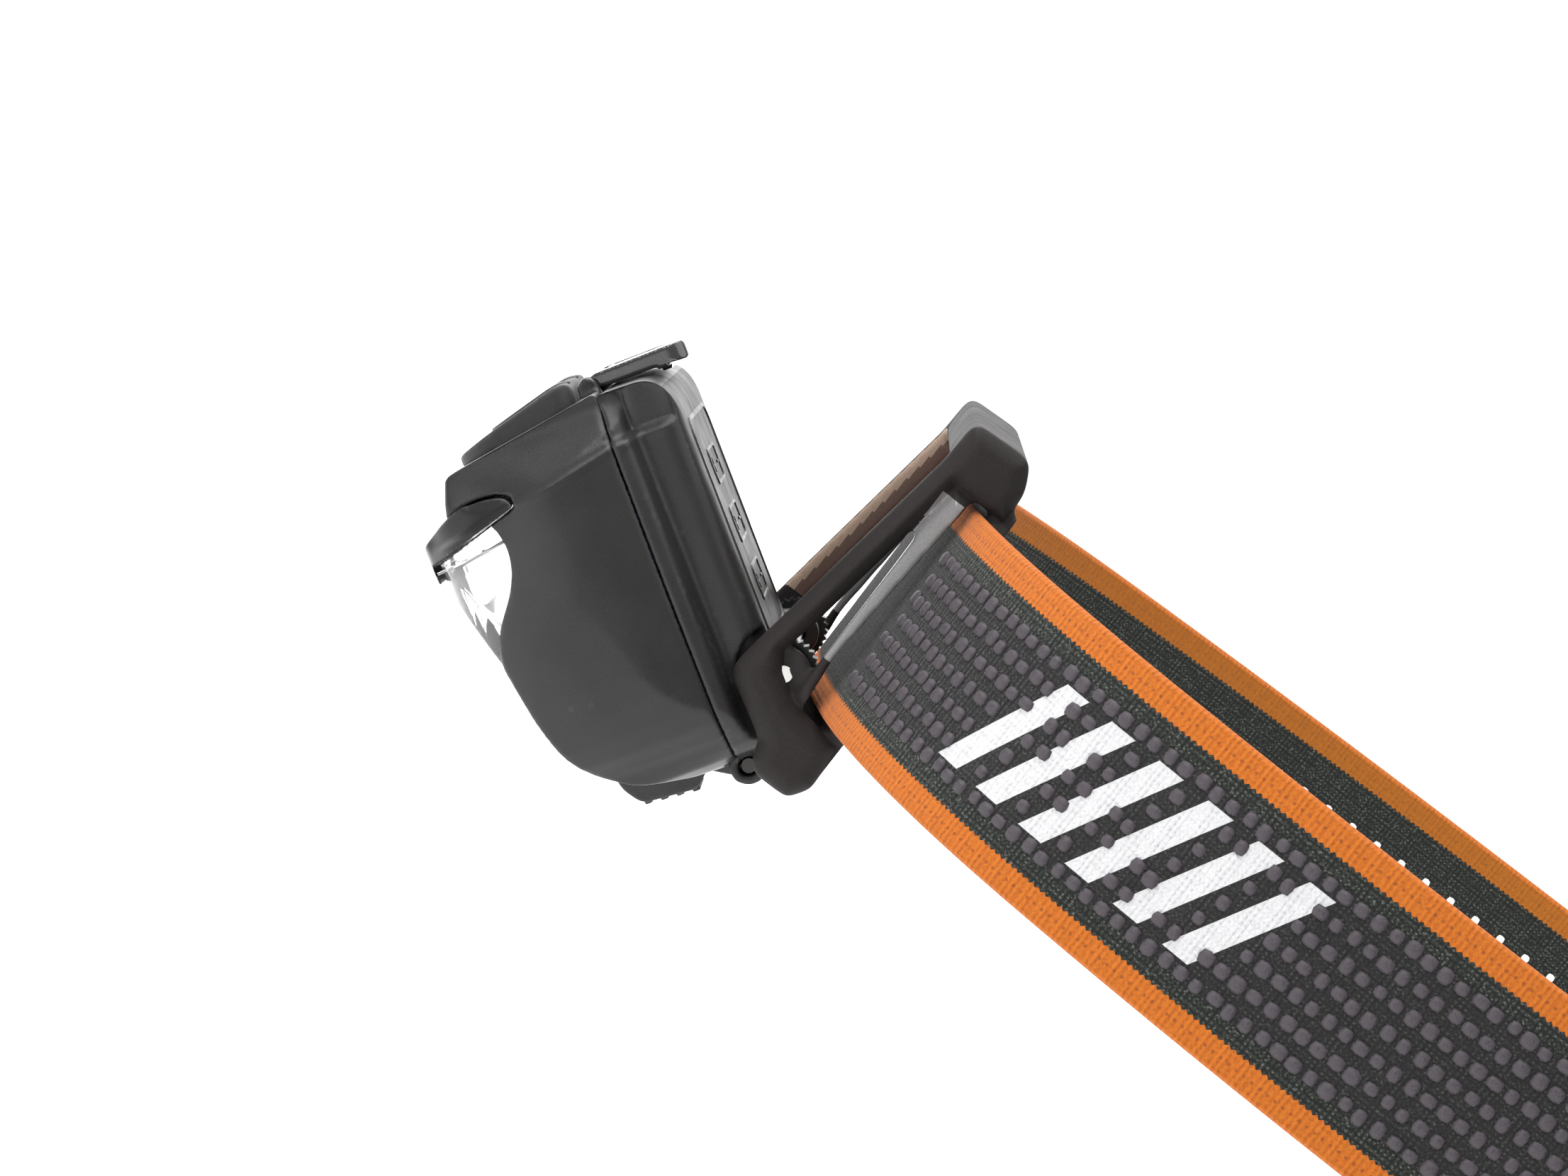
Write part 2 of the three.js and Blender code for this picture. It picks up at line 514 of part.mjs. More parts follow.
// Points [x, y] of half the middle line, from the front centre to the rear centre, with outward normals.
function strapLine() {
  const points = [];
  let heading = 0;
  let x = 0;
  let y = TILT_AXIS.y + STRAP.front;
  const add = () => points.push({ x, y, nx: Math.sin(heading), ny: -Math.cos(heading) });
  add();
  for (const [radius, endDeg] of STRAP_ARCS) {
    const end = THREE.MathUtils.degToRad(endDeg);
    const steps = Math.ceil((endDeg - THREE.MathUtils.radToDeg(heading)) / ARC_STEP_DEG);
    const turn = (end - heading) / steps;
    for (let i = 0; i < steps; i++) {
      x += radius * (Math.sin(heading + turn) - Math.sin(heading));
      y += radius * (Math.cos(heading) - Math.cos(heading + turn));
      heading += turn;
      add();
    }
  }
  return points;
}

function offsetLoop(distance) {
  const half = strapLine().map((p) => new THREE.Vector2(p.x + p.nx * distance, p.y + p.ny * distance));
  const other = half.slice(1).toReversed().map((p) => new THREE.Vector2(-p.x, p.y));
  return [...half, ...other];
}

const strapHeight = [
  TILT_AXIS.z + STRAP.mid - STRAP.width / 2,
  TILT_AXIS.z + STRAP.mid + STRAP.width / 2,
];

function headband() {
  const shape = new THREE.Shape(offsetLoop(STRAP.thick / 2));
  shape.holes.push(new THREE.Path(offsetLoop(-STRAP.thick / 2)));
  return toSolid(extruded(shape, STRAP.width).translate(0, 0, strapHeight[0]));
}

// The free end, which doubles back outside the band from the slider along the wearer's right.
function strapTail() {
  const inner = STRAP.thick / 2 + STRAP.tailGap;
  const last = strapLine().slice(-10).map((p) => [-p.x, p.y, -p.nx, p.ny]);
  const offset = (d) => last.map(([x, y, nx, ny]) => [x + nx * d, y + ny * d]);
  const faces = [offset(inner), offset(inner + STRAP.thick)];
  const rear = faces.map((face) => [STRAP.flat - 1, face.at(-1)[1]]);
  const points = [...faces[0], rear[0], rear[1], ...faces[1].toReversed()];
  return prismZ(points, ...strapHeight);
}

function adjusterSlider() {
  const rearY = strapLine().at(-1).y;
  const y0 = rearY - STRAP.thick / 2 - 0.4;
  const y1 = rearY + STRAP.thick * 1.5 + STRAP.tailGap + 0.4;
  const [z0, z1] = strapHeight;
  const wall = 1.5;
  const half = 7;
  const plan = [[-half, y0 - wall, 1], [half, y0 - wall, 1], [half, y1 + wall, 1], [-half, y1 + wall, 1]];
  return prismZ(plan, z0 - 2.6, z1 + 2.6)
    .subtract(block(-FAR, FAR, y0, y1, z0 - 0.4, z1 + 0.4))
    .subtract(block(-4, -1.2, y1 - 1, y1 + 5, z0 + 1, z1 - 1))
    .subtract(block(1.2, 4, y1 - 1, y1 + 5, z0 + 1, z1 - 1));
}

// ---------------------------------------------------------------- the whole headlamp

const headlamp = new THREE.Group();
headlamp.add(lampHead());

const bracket = new THREE.Group();
bracket.position.set(0, TILT_AXIS.y, TILT_AXIS.z);
piece(bracket, 'bracket_frame', bracketFrame(), 'bracket');
piece(bracket, 'tilt_pin', rodX(0, 0, PIN_R, -26.5, 26.5), 'steel');
piece(bracket, 'click_spring_left', clickSpring(1), 'steel');
piece(bracket, 'click_spring_right', clickSpring(-1), 'steel');
headlamp.add(bracket);

piece(headlamp, 'headband', headband(), 'knit');
piece(headlamp, 'strap_tail', strapTail(), 'knit');
piece(headlamp, 'adjuster_slider', adjusterSlider(), 'trim');

export default headlamp;
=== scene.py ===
import json
import math

import bpy
import numpy as np
from mathutils import Matrix, Vector

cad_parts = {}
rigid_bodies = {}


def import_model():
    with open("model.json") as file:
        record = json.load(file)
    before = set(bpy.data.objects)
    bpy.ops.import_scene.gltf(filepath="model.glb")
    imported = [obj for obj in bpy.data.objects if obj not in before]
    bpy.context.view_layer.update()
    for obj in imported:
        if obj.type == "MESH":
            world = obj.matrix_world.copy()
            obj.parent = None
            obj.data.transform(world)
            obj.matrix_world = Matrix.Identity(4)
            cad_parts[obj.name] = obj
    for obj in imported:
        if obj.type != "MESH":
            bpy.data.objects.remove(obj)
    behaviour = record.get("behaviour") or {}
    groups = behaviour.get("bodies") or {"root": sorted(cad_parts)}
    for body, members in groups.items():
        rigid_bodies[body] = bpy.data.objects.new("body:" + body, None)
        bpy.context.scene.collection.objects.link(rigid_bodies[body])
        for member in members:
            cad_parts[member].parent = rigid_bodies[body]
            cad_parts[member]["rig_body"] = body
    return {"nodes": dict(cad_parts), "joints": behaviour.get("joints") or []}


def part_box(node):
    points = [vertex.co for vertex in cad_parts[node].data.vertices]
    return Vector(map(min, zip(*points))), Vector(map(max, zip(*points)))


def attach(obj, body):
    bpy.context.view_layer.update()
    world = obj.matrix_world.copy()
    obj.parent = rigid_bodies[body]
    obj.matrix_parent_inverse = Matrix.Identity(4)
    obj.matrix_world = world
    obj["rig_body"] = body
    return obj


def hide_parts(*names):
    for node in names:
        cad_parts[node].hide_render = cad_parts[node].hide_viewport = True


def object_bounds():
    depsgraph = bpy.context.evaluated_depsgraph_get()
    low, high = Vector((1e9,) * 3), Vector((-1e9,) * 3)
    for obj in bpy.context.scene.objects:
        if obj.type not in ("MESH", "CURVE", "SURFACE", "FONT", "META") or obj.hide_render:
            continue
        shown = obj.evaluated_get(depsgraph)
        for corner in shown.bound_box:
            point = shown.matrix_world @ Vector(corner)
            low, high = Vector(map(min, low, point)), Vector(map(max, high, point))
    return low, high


MM = 0.001

# The lamp head is drawn upright about the tilt axis, then turned to its angle at rest.
REST_TILT = math.radians(58.2)

# Headband: its middle line is tangent arcs, given as (radius, heading in degrees at the arc's end), in mm.
STRAP_FRONT_Y = -3.5
STRAP_ARCS = [(112, 13.95), (50, 64), (150, 110), (49, 180)]
STRAP_FLAT = 20
STRAP_WIDTH = 30
STRAP_THICK = 1.6
TAIL_GAP = 0.35

# Bumps outside the headband and grip dots inside it: rows across it, pitch and first place along it, in mm,
# and each dome's half length, half width and height. Bumps keep a margin to what covers the band.
BUMP_ROWS, BUMP_PITCH, BUMP_START = (-8.7, -5.8, -2.9, 0, 2.9, 5.8, 8.7), 2.2, 28.8
BUMP_SIZE = (0.92, 0.88, 0.5)
BUMP_UNEVEN = 0.16
BUMP_MARGIN = 1
GRIP_ROWS, GRIP_PITCH, GRIP_START = (-6, -2, 2, 6), 4.4, 34
GRIP_SIZE = (0.6, 0.6, 0.4)

# Bars printed on the headband: slant, pitch along it, share of the pitch that is printed,
# half height, and where the run of bars begins and ends, counted in pitches.
BAR_SLANT = 0.55
BAR_PITCH = 7.0
BAR_SHARE = 0.5
BAR_HALF_HEIGHT = 7.6
FIRST_BAR, LAST_BAR = 8.0, 14.0

# Places on the lamp head are (y, z) from the tilt axis in its own upright side view, in mm.
# This is the front housing's free edge, near which its flanks curve in.
HOUSING_RIM = [
    (-14.5, -8.5), (-21.4, -6.6), (-25.6, -3.4), (-27.8, -0.1), (-29.1, 5), (-30.4, 12.6), (-29.3, 16.2),
    (-25.7, 20.9), (-24.6, 24.5), (-25.1, 27.3),
]
RIM_REACH, RIM_DEPTH = 8, 1.5

# Flanks: reshaping starts and is full at these distances from the middle plane. They are crowned about a
# height, and drawn in by the crown's depth at its reach above and below that.
FLANK_START, FLANK_FULL = 22, 27
CROWN_Z, CROWN_REACH, CROWN_DEPTH = 14, 18, 0.9

# The crease along the flanks rises to the seam and runs level across the cover. A low ridge is just under it.
CREASE_FRONT = (-21.2, 29.7)
CREASE_SLOPE = 0.193
CREASE_REAR_Z = 31.9
RIDGE_BELOW, RIDGE_WIDTH, RIDGE_HEIGHT = 0.35, 0.45, 0.22

# The shoulder steps in between two heights above the crease, then leans in. The cover's steps in further.
SHOULDER_RISE = (-0.1, 0.8)
SHOULDER_STEP, SHOULDER_LEAN = 1.2, 0.18
COVER_SHOULDER_RISE = (-0.2, 1.1)
COVER_SHOULDER_REACH, COVER_SHOULDER_DEPTH = 3, 1.6

# The edges of the housing and the cover at their seam. Each reaches a little way into it,
# which leaves a groove instead of a slit.
HOUSING_EDGE_Y, COVER_EDGE_Y = -9.4, -9.0
SEAM_REACH = 0.4
SEAM_CLOSING = 0.12

# The visor: a place on its sloping top and the slope, its smaller step above the crease, the lift of its top,
# and how its tip narrows. The lift grows over these depths below the top and over this stretch of y.
VISOR_TOP = (-36, 27.1)
VISOR_SLOPE = 0.582
VISOR_STEP = 0.75
VISOR_LIFT = 0.45
VISOR_LIFT_DEPTHS, VISOR_LIFT_Y = (1.4, 0.1), (-26, -28)
VISOR_TIP_DEPTH, VISOR_TIP_Y = 1.3, (-29, -35)

# The cover's glossy rear: how squarely its faces look to the rear, and the least y of their centres.
FACING_REAR, COVER_REAR_Y = 0.8, -3

# The bracket's side plate in the bracket's own side view, as (y, z) from the tilt axis in mm.
ARM_RIM = [
    (-5.4, -2.6), (-4.6, -4), (2.4, -7.9), (2.9, -10.2), (4.4, -11.5), (9, -11.5), (10.7, -8.9), (10.2, -3),
    (5, -2.3), (3, -1.8), (-0.3, 0.2), (-1.7, 2.4), (-0.7, 6.9), (2.6, 29.4), (9.5, 29.4), (9.5, 33.5),
    (7.6, 37.1), (-0.2, 36.8), (-0.4, 31.2), (-5.4, -2.6),
]

# Its outer face is rounded over this width along the outline, by this depth, between these distances from
# the middle plane.
ARM_ROUNDING, ARM_ROUND_DEPTH = 2.4, 1.5
ARM_INNER_X, ARM_OUTER_X = 24.8, 28

# Bracket faces with painted light: the curved bars beside the headband, whose light grey is a painted
# highlight, and the arms' inner sides, with a painted warm light that is paler on their front strip.
BLADE_INNER_X = 26.0
BLADE_FRONT = ((-3, 5, 17, 31), (2.0, 1.7, 1.8, 1.6))
BLADE_REAR_Y = 4.7
BLADE_Z = (4.5, 28.2)
INNER_ARM_X = (24, 25.6)
INNER_ARM_Z, INNER_ARM_Y = 3.5, 3
FACING_INWARD = 0.4
STRIP_SLOPE, STRIP_Y = 0.148, -3.8

# The floor is low enough for the open battery cover, which swings below the band.
FLOOR_DROP = 0.05

# Camera: its place in metres, its angles in degrees, and its lens and sensor in mm.
CAMERA_AT = (0.5334, -0.0311, 0.0440)
CAMERA_AZIMUTH = 87.99
CAMERA_ELEVATION = 5.59
CAMERA_ROLL = 37.44
CAMERA_LENS = 100.9
CAMERA_SENSOR = 36

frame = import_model()
cad_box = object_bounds()
tilt_axis = Vector(next(j for j in frame["joints"] if j["name"] == "lamp_tilt")["pos_m"])
LAMP = Matrix.Translation(tilt_axis) @ Matrix.Rotation(REST_TILT, 4, "X")


# ---------------------------------------------------------------- materials

class Look:
    """One material, built node by node."""

    def __init__(self, name, **settings):
        self.material = bpy.data.materials.new(name)
        self.material.use_nodes = True
        self.tree = self.material.node_tree
        self.shader = self.tree.nodes["Principled BSDF"]
        for key, value in settings.items():
            self.put(self.shader.inputs[key.replace("_", " ")], value)

    def put(self, socket, value):
        """Links a socket to another one, or gives it a constant."""
        if isinstance(value, bpy.types.NodeSocket):
            self.tree.links.new(value, socket)
        elif socket.type == "RGBA" and len(value) == 3:
            socket.default_value = (*value, 1)
        else:
            socket.default_value = value

    def node(self, kind, inputs=None, **settings):
        made = self.tree.nodes.new("ShaderNode" + kind)
        for key, value in settings.items():
            setattr(made, key, value)
        for key, value in (inputs or {}).items():
            self.put(made.inputs[key], value)
        return made

    def place(self, stretch=(1, 1, 1)):
        """The point on the object, in metres, scaled along each axis."""
        spot = self.node("TexCoord").outputs["Object"]
        return self.node("Mapping", {"Vector": spot, "Scale": stretch}).outputs["Vector"]

    def attribute(self, name):
        return self.node("Attribute", attribute_name=name).outputs["Fac"]

    def calc(self, operation, *values):
        made = self.node("Math", operation=operation)
        for socket, value in zip(made.inputs, values):
            self.put(socket, value)
        return made.outputs[0]

    def noise(self, size, detail=3, stretch=(1, 1, 1)):
        """Noise from 0 to 1, with blotches of about size mm."""
        inputs = {"Vector": self.place(stretch), "Scale": 1000 / size, "Detail": detail}
        return self.node("TexNoise", inputs).outputs["Fac"]

    def spread(self, value, low, high, start=0.3, end=0.7):
        """Takes start..end of a value to low..high."""
        inputs = {"Value": value, "From Min": start, "From Max": end, "To Min": low, "To Max": high}
        return self.node("MapRange", inputs).outputs["Result"]

    def mix(self, factor, first, second):
        made = self.node("MixRGB")
        self.put(made.inputs[0], factor)
        self.put(made.inputs[1], first)
        self.put(made.inputs[2], second)
        return made.outputs[0]

    def bump(self, height, depth, below=None):
        """Relief of depth mm, on top of any relief below."""
        inputs = {"Height": height, "Distance": depth * MM, "Strength": 1.0}
        if below is not None:
            inputs["Normal"] = below
        return self.node("Bump", inputs).outputs["Normal"]

    def set(self, **sockets):
        for key, value in sockets.items():
            self.put(self.shader.inputs[key.replace("_", " ")], value)
        return self.material


def scaled(colour, share):
    return tuple(c * share for c in colour)


def moulded(name, colour, rough, grain=0.22, depth=0.02, edge_wear_and_highlight=1.5, **settings):
    """Moulded plastic or rubber: fine grain, faint flow marks, and paler edges that are partly wear and
    partly a painted highlight.
    """
    look = Look(name, **settings)
    flow = look.noise(14, 4)
    fine = look.noise(grain, 2)
    # Sharp edges are painted paler: partly wear, partly a painted highlight.
    edge = look.spread(look.node("NewGeometry").outputs["Pointiness"], 0, 1, 0.52, 0.6)
    tone = look.mix(look.spread(flow, 0, 1), scaled(colour, 0.86), scaled(colour, 1.14))
    speck = look.mix(look.spread(fine, 0, 1, 0.35, 0.65), scaled(colour, 0.8), scaled(colour, 1.25))
    body = look.mix(0.45, tone, speck)
    relief = look.bump(fine, depth, look.bump(look.noise(3.5, 2), depth * 1.5))
    return look.set(
        Base_Color=look.mix(edge, body, scaled(colour, edge_wear_and_highlight)),
        Roughness=look.spread(look.noise(5, 4), rough - 0.05, rough + 0.07),
        Normal=relief,
    )


def metal(name, colour, rough, stretch, depth=0.004, scratch=0.35):
    """Metal with the fine lines of rolling, turning or plating."""
    look = Look(name, Metallic=1.0)
    lines = look.noise(scratch, 4, stretch)
    cloud = look.noise(3, 3)
    return look.set(
        Base_Color=look.mix(look.spread(cloud, 0, 1), scaled(colour, 0.88), colour),
        Roughness=look.spread(lines, rough - 0.06, rough + 0.1),
        Normal=look.bump(lines, depth),
    )


def clear_plastic():
    look = Look("clear_lens", Transmission_Weight=0.92, IOR=1.38, Base_Color=(0.965, 0.967, 0.97))
    smear = look.noise(6, 3)
    return look.set(
        Roughness=look.spread(smear, 0.015, 0.05),
        Normal=look.bump(look.noise(9, 1), 0.01),
    )


def circuit_board():
    look = Look("circuit_lacquer", IOR=1.5)
    lines = look.node(
        "TexBrick", {"Vector": look.place(), "Scale": 420, "Mortar Size": 0.03, "Color1": (0, 0, 0),
                     "Color2": (0, 0, 0), "Mortar": (1, 1, 1)},
    ).outputs["Color"]
    mask = look.mix(look.spread(look.noise(4, 2), 0, 1), (0.012, 0.07, 0.035), (0.02, 0.105, 0.05))
    return look.set(
        Base_Color=look.mix(lines, mask, (0.05, 0.2, 0.08)),
        Roughness=look.spread(look.noise(1.2, 2), 0.25, 0.4),
        Normal=look.bump(lines, 0.03),
    )


def phosphor():
    look = Look("led_phosphor", IOR=1.45)
    grain = look.node("TexVoronoi", {"Vector": look.place(), "Scale": 9000}).outputs["Distance"]
    return look.set(
        Base_Color=look.mix(grain, (0.95, 0.74, 0.1), (0.8, 0.52, 0.05)),
        Roughness=0.35,
        Normal=look.bump(grain, 0.02),
    )


WRAP_PITCH, WRAP_SHARE = 14, 0.12


def cell_wrap():
    """Blue wrap with pale bands round each cell."""
    look = Look("cell_wrap", Coat_Weight=0.4, Coat_Roughness=0.1)
    x = look.node("SeparateXYZ", {"Vector": look.place()}).outputs["X"]
    bands = look.calc("FRACT", look.calc("MULTIPLY", x, 1000 / WRAP_PITCH))
    stripe = look.calc("LESS_THAN", bands, WRAP_SHARE)
    body = look.mix(look.spread(look.noise(2, 3), 0, 1), (0.02, 0.09, 0.2), (0.03, 0.12, 0.26))
    return look.set(
        Base_Color=look.mix(stripe, body, (0.5, 0.52, 0.55)),
        Roughness=look.spread(look.noise(1, 2), 0.25, 0.4),
        Normal=look.bump(look.noise(2.5, 2), 0.04),
    )


def in_bar(along, across):
    """Whether a place on the band is under a printed bar, where the band has no bumps."""
    slanted = (along - across * BAR_SLANT) / BAR_PITCH
    in_height = abs(across) < BAR_HALF_HEIGHT + 0.5
    return in_height and slanted % 1 < BAR_SHARE + 0.02 and FIRST_BAR < slanted < LAST_BAR


def printed_bars(look, along, across):
    """Slanted bars of a plain reflective print, from 0 to 1."""
    slanted = look.calc(
        "DIVIDE", look.calc("SUBTRACT", along, look.calc("MULTIPLY", across, BAR_SLANT)), BAR_PITCH)
    bar = look.calc("LESS_THAN", look.calc("FRACT", slanted), BAR_SHARE)
    inside = look.calc("LESS_THAN", look.calc("ABSOLUTE", across), BAR_HALF_HEIGHT)
    run = look.calc("MULTIPLY", look.calc("GREATER_THAN", slanted, FIRST_BAR),
                    look.calc("LESS_THAN", slanted, LAST_BAR))
    return look.calc("MULTIPLY", look.calc("MULTIPLY", bar, inside), run)


PRINT_INK = (0.55, 0.55, 0.56)
YARN_DEEP, YARN_TOP = (0.006, 0.0072, 0.006), (0.021, 0.024, 0.021)
YARN_FUZZ = (0.085, 0.092, 0.082)
YARN_KNOT = (0.12, 0.135, 0.11)
YARN_BETWEEN_BUMPS = (0.015, 0.0125, 0.0145)
ORANGE_DEEP, ORANGE_TOP = (0.28, 0.058, 0.003), (0.4, 0.1, 0.005)
ORANGE_FUZZ = (0.48, 0.145, 0.015)
ORANGE_HOLE = (0.2, 0.05, 0.01)
# The orange darkened by painted shade on the band's inner face.
ORANGE_INNER_SHADE = (0.26, 0.09, 0.006)

# Stitches of each kind per mm.
WALES, COURSES = 1.7, 1.35
KNOTS_ALONG, KNOTS_ACROSS = 1.45, 1.9
WEFTS, RIBS = 1.3, 1.0

# The orange selvedge, in mm: its width, its toothed inner edge, and its row of needle holes.
SELVEDGE = 3.3
TOOTH_LENGTH, TOOTH_SLOPE, TOOTH_INSET = 0.42, 0.8, 0.3
HOLE_PITCH, HOLE_INSET, HOLE_RADIUS_SQUARED = 1.05, 1.9, 0.04
BUMPED_HALF_WIDTH = 9.4


def ripple(look, value, rate):
    """A zigzag from 0 to 0.5, whose legs are 0.5 / rate long."""
    return look.calc("PINGPONG", look.calc("MULTIPLY", value, rate), 0.5)


def square(look, value):
    return look.calc("POWER", look.calc("ABSOLUTE", value), 2)


def dark_yarn(look, along, across, outside, stitch, fuzz):
    """Dark stitches with pale fuzz and knots. Between the rows of bumps they are a purer grey."""
    dark = look.mix(look.spread(stitch, 0, 1, 0.02, 0.16), YARN_DEEP, YARN_TOP)
    dark = look.mix(look.spread(fuzz, 0, 1, 0.6, 0.72), dark, YARN_FUZZ)
    knot = look.calc(
        "MULTIPLY",
        look.calc("GREATER_THAN", ripple(look, along, KNOTS_ALONG), 0.3),
        look.calc("GREATER_THAN", ripple(look, across, KNOTS_ACROSS), 0.34),
    )
    knot = look.calc("MULTIPLY", knot, look.spread(look.noise(0.8, 2), 0, 1, 0.42, 0.6))
    dark = look.mix(look.calc("MULTIPLY", knot, 0.6), dark, YARN_KNOT)
    width = look.calc("ABSOLUTE", across)
    middle = look.calc("MULTIPLY", look.calc("LESS_THAN", width, BUMPED_HALF_WIDTH), outside)
    return look.mix(look.calc("MULTIPLY", middle, 0.55), dark, YARN_BETWEEN_BUMPS)


def orange_yarn(look, along, across, outside, weft, fuzz):
    """The selvedge's orange stitches and needle holes, darkened on the inner face by painted shade."""
    bright = look.mix(look.spread(weft, 0, 1, 0.0, 0.5), ORANGE_DEEP, ORANGE_TOP)
    bright = look.mix(look.spread(fuzz, 0, 0.5), bright, ORANGE_FUZZ)
    hole_u = look.calc("SUBTRACT", look.calc("FRACT", look.calc("DIVIDE", along, HOLE_PITCH)), 0.5)
    hole_v = look.calc("SUBTRACT", look.calc("ABSOLUTE", across), STRAP_WIDTH / 2 - HOLE_INSET)
    from_hole = look.calc("ADD", square(look, hole_u), square(look, hole_v))
    hole = look.calc("LESS_THAN", from_hole, HOLE_RADIUS_SQUARED)
    bright = look.mix(look.calc("MULTIPLY", hole, 0.75), bright, ORANGE_HOLE)
    # Painted shade: the orange is darker on the band's inner face.
    inner_face = look.calc("LESS_THAN", outside, 0.25)
    return look.mix(look.calc("MULTIPLY", inner_face, 0.6), bright, ORANGE_INNER_SHADE)


def knit():
    """Elastic knit with orange selvedges, drawn from each point's place along and across the band in mm."""
    look = Look("band_knit", Sheen_Weight=0.08, Sheen_Roughness=0.5, Roughness=0.88, Specular_IOR_Level=0.25)
    along = look.attribute("along")
    across = look.attribute("across")
    outside = look.attribute("outside")
    stitch = look.calc("MULTIPLY", ripple(look, along, WALES), ripple(look, across, COURSES))
    weft = ripple(look, along, WEFTS)
    fuzz = look.noise(0.35, 3)
    tooth = look.calc("MULTIPLY", look.calc("PINGPONG", along, TOOTH_LENGTH), TOOTH_SLOPE)
    start = look.calc("ADD", STRAP_WIDTH / 2 - SELVEDGE - TOOTH_INSET, tooth)
    orange = look.calc("GREATER_THAN", look.calc("ABSOLUTE", across), start)
    colour = look.mix(
        orange,
        dark_yarn(look, along, across, outside, stitch, fuzz),
        orange_yarn(look, along, across, outside, weft, fuzz),
    )
    ink = look.calc("MULTIPLY", printed_bars(look, along, across), outside)
    colour = look.mix(look.calc("MULTIPLY", ink, look.spread(fuzz, 0.95, 0.8)), colour, PRINT_INK)
    ridges = look.calc("MULTIPLY", look.calc("ADD", weft, ripple(look, across, RIBS)), 0.3)
    relief = look.bump(fuzz, 0.12, look.bump(look.calc("ADD", stitch, ridges), 0.5))
    return look.set(Base_Color=colour, Normal=relief)


def bump_rubber():
    look = Look("bump_rubber", Sheen_Weight=0.08, Sheen_Roughness=0.4, Specular_IOR_Level=0.4)
    ink = printed_bars(look, look.attribute("along"), look.attribute("across"))
    fine = look.noise(0.3, 3)
    body = look.mix(look.spread(fine, 0, 1), (0.026, 0.021, 0.026), (0.05, 0.041, 0.049))
    return look.set(
        Base_Color=look.mix(look.calc("MULTIPLY", ink, 0.95), body, PRINT_INK),
        Roughness=look.spread(fine, 0.45, 0.7),
        Normal=look.bump(fine, 0.06),
    )


def paper_floor():
    look = Look("pale_paper", Roughness=0.95, Emission_Color=(1, 1, 1), Emission_Strength=0.6)
    mottle = look.noise(40, 4)
    return look.set(
        Base_Color=look.mix(look.spread(mottle, 0, 1), (0.86, 0.86, 0.855), (0.88, 0.88, 0.88)),
        Normal=look.bump(look.noise(1.5, 3), 0.05),
    )


SHELL = moulded("shell_plastic", (0.0135, 0.013, 0.013), 0.38, Specular_IOR_Level=0.3)
GLOSS = moulded("cover_gloss", (0.015, 0.015, 0.015), 0.45, depth=0.006, Specular_IOR_Level=0.12)
TAB = moulded("latch_gloss", (0.016, 0.016, 0.0165), 0.12, depth=0.006, Specular_IOR_Level=1.0)
TRIM = moulded("trim_plastic", (0.007, 0.007, 0.0075), 0.36, depth=0.012, Specular_IOR_Level=0.25)
BRACKET = moulded("bracket_plastic", (0.0145, 0.0118, 0.012), 0.62, grain=0.3, Specular_IOR_Level=0.15)
# Painted light on the arms' inner sides: a warm brown painted light, and a paler one on their front strip.
PAINTED_ARM_LIGHT = moulded("bracket_painted_light", (0.1, 0.06, 0.047), 0.35, Specular_IOR_Level=0.4)
PAINTED_ARM_LIGHT_THIN = moulded("bracket_painted_light_thin", (0.3, 0.215, 0.16), 0.35, Specular_IOR_Level=0.4)
# The blades are bracket plastic; their light grey colour is a painted highlight.
BLADE_HIGHLIGHT = moulded("blade_painted_highlight", (0.14, 0.137, 0.137), 0.22, depth=0.006, Specular_IOR_Level=0.6)
RUBBER = moulded("rubber_part", (0.014, 0.014, 0.0145), 0.62, grain=0.35, depth=0.03, Sheen_Weight=0.1)
CLEAR = clear_plastic()
MIRROR = metal("mirror_coat", (0.86, 0.86, 0.86), 0.1, (1, 1, 1), depth=0.002, scratch=0.6)
DARK_STEEL = metal("dark_steel", (0.05, 0.048, 0.046), 0.4, (1, 12, 12))
STEEL = metal("steel_part", (0.56, 0.55, 0.53), 0.3, (1, 12, 12))
SINK = metal("sink_metal", (0.72, 0.73, 0.74), 0.38, (0.6, 9, 9))
BOARD = circuit_board()
PHOSPHOR = phosphor()
CELLS = cell_wrap()
KNIT = knit()
BUMPS = bump_rubber()
SILICONE = moulded("silicone_dots", (0.78, 0.79, 0.8), 0.35, edge_wear_and_highlight=1.1)

NODE_LOOKS = {
    "cover_seal": RUBBER, "lens_seal": RUBBER, "ratchet_wheel_left": TRIM, "ratchet_wheel_right": TRIM,
    "spot_reflector": MIRROR, "flood_reflector": MIRROR, "spot_led": PHOSPHOR, "flood_led_inner": PHOSPHOR,
    "flood_led_outer": PHOSPHOR, "led_board": BOARD, "heat_sink": SINK, "board_screw_1": STEEL,
    "board_screw_2": STEEL, "board_screw_3": STEEL, "board_screw_4": STEEL, "driver_board": BOARD,
    "power_switch": STEEL, "mode_switch": STEEL, "usb_socket": STEEL, "battery_pack": CELLS,
    "contact_spring": STEEL, "contact_plate": STEEL, "latch_pin": DARK_STEEL, "cover_hinge_pin": DARK_STEEL,
    "tilt_pin": STEEL, "click_spring_left": STEEL, "click_spring_right": STEEL,
}


# ---------------------------------------------------------------- mesh helpers

def new_piece(name, mesh, body, slot, *looks):
    piece = bpy.data.objects.new(name, mesh)
    bpy.context.scene.collection.objects.link(piece)
    for look in looks:
        mesh.materials.append(look)
    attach(piece, body)
    return piece


def mesh_from(name, points, faces, smooth=True):
    mesh = bpy.data.meshes.new(name)
    mesh.from_pydata([tuple(p) for p in points], [], [tuple(f) for f in faces])
    mesh.update()
    mesh.polygons.foreach_set("use_smooth", [smooth] * len(mesh.polygons))
    return mesh


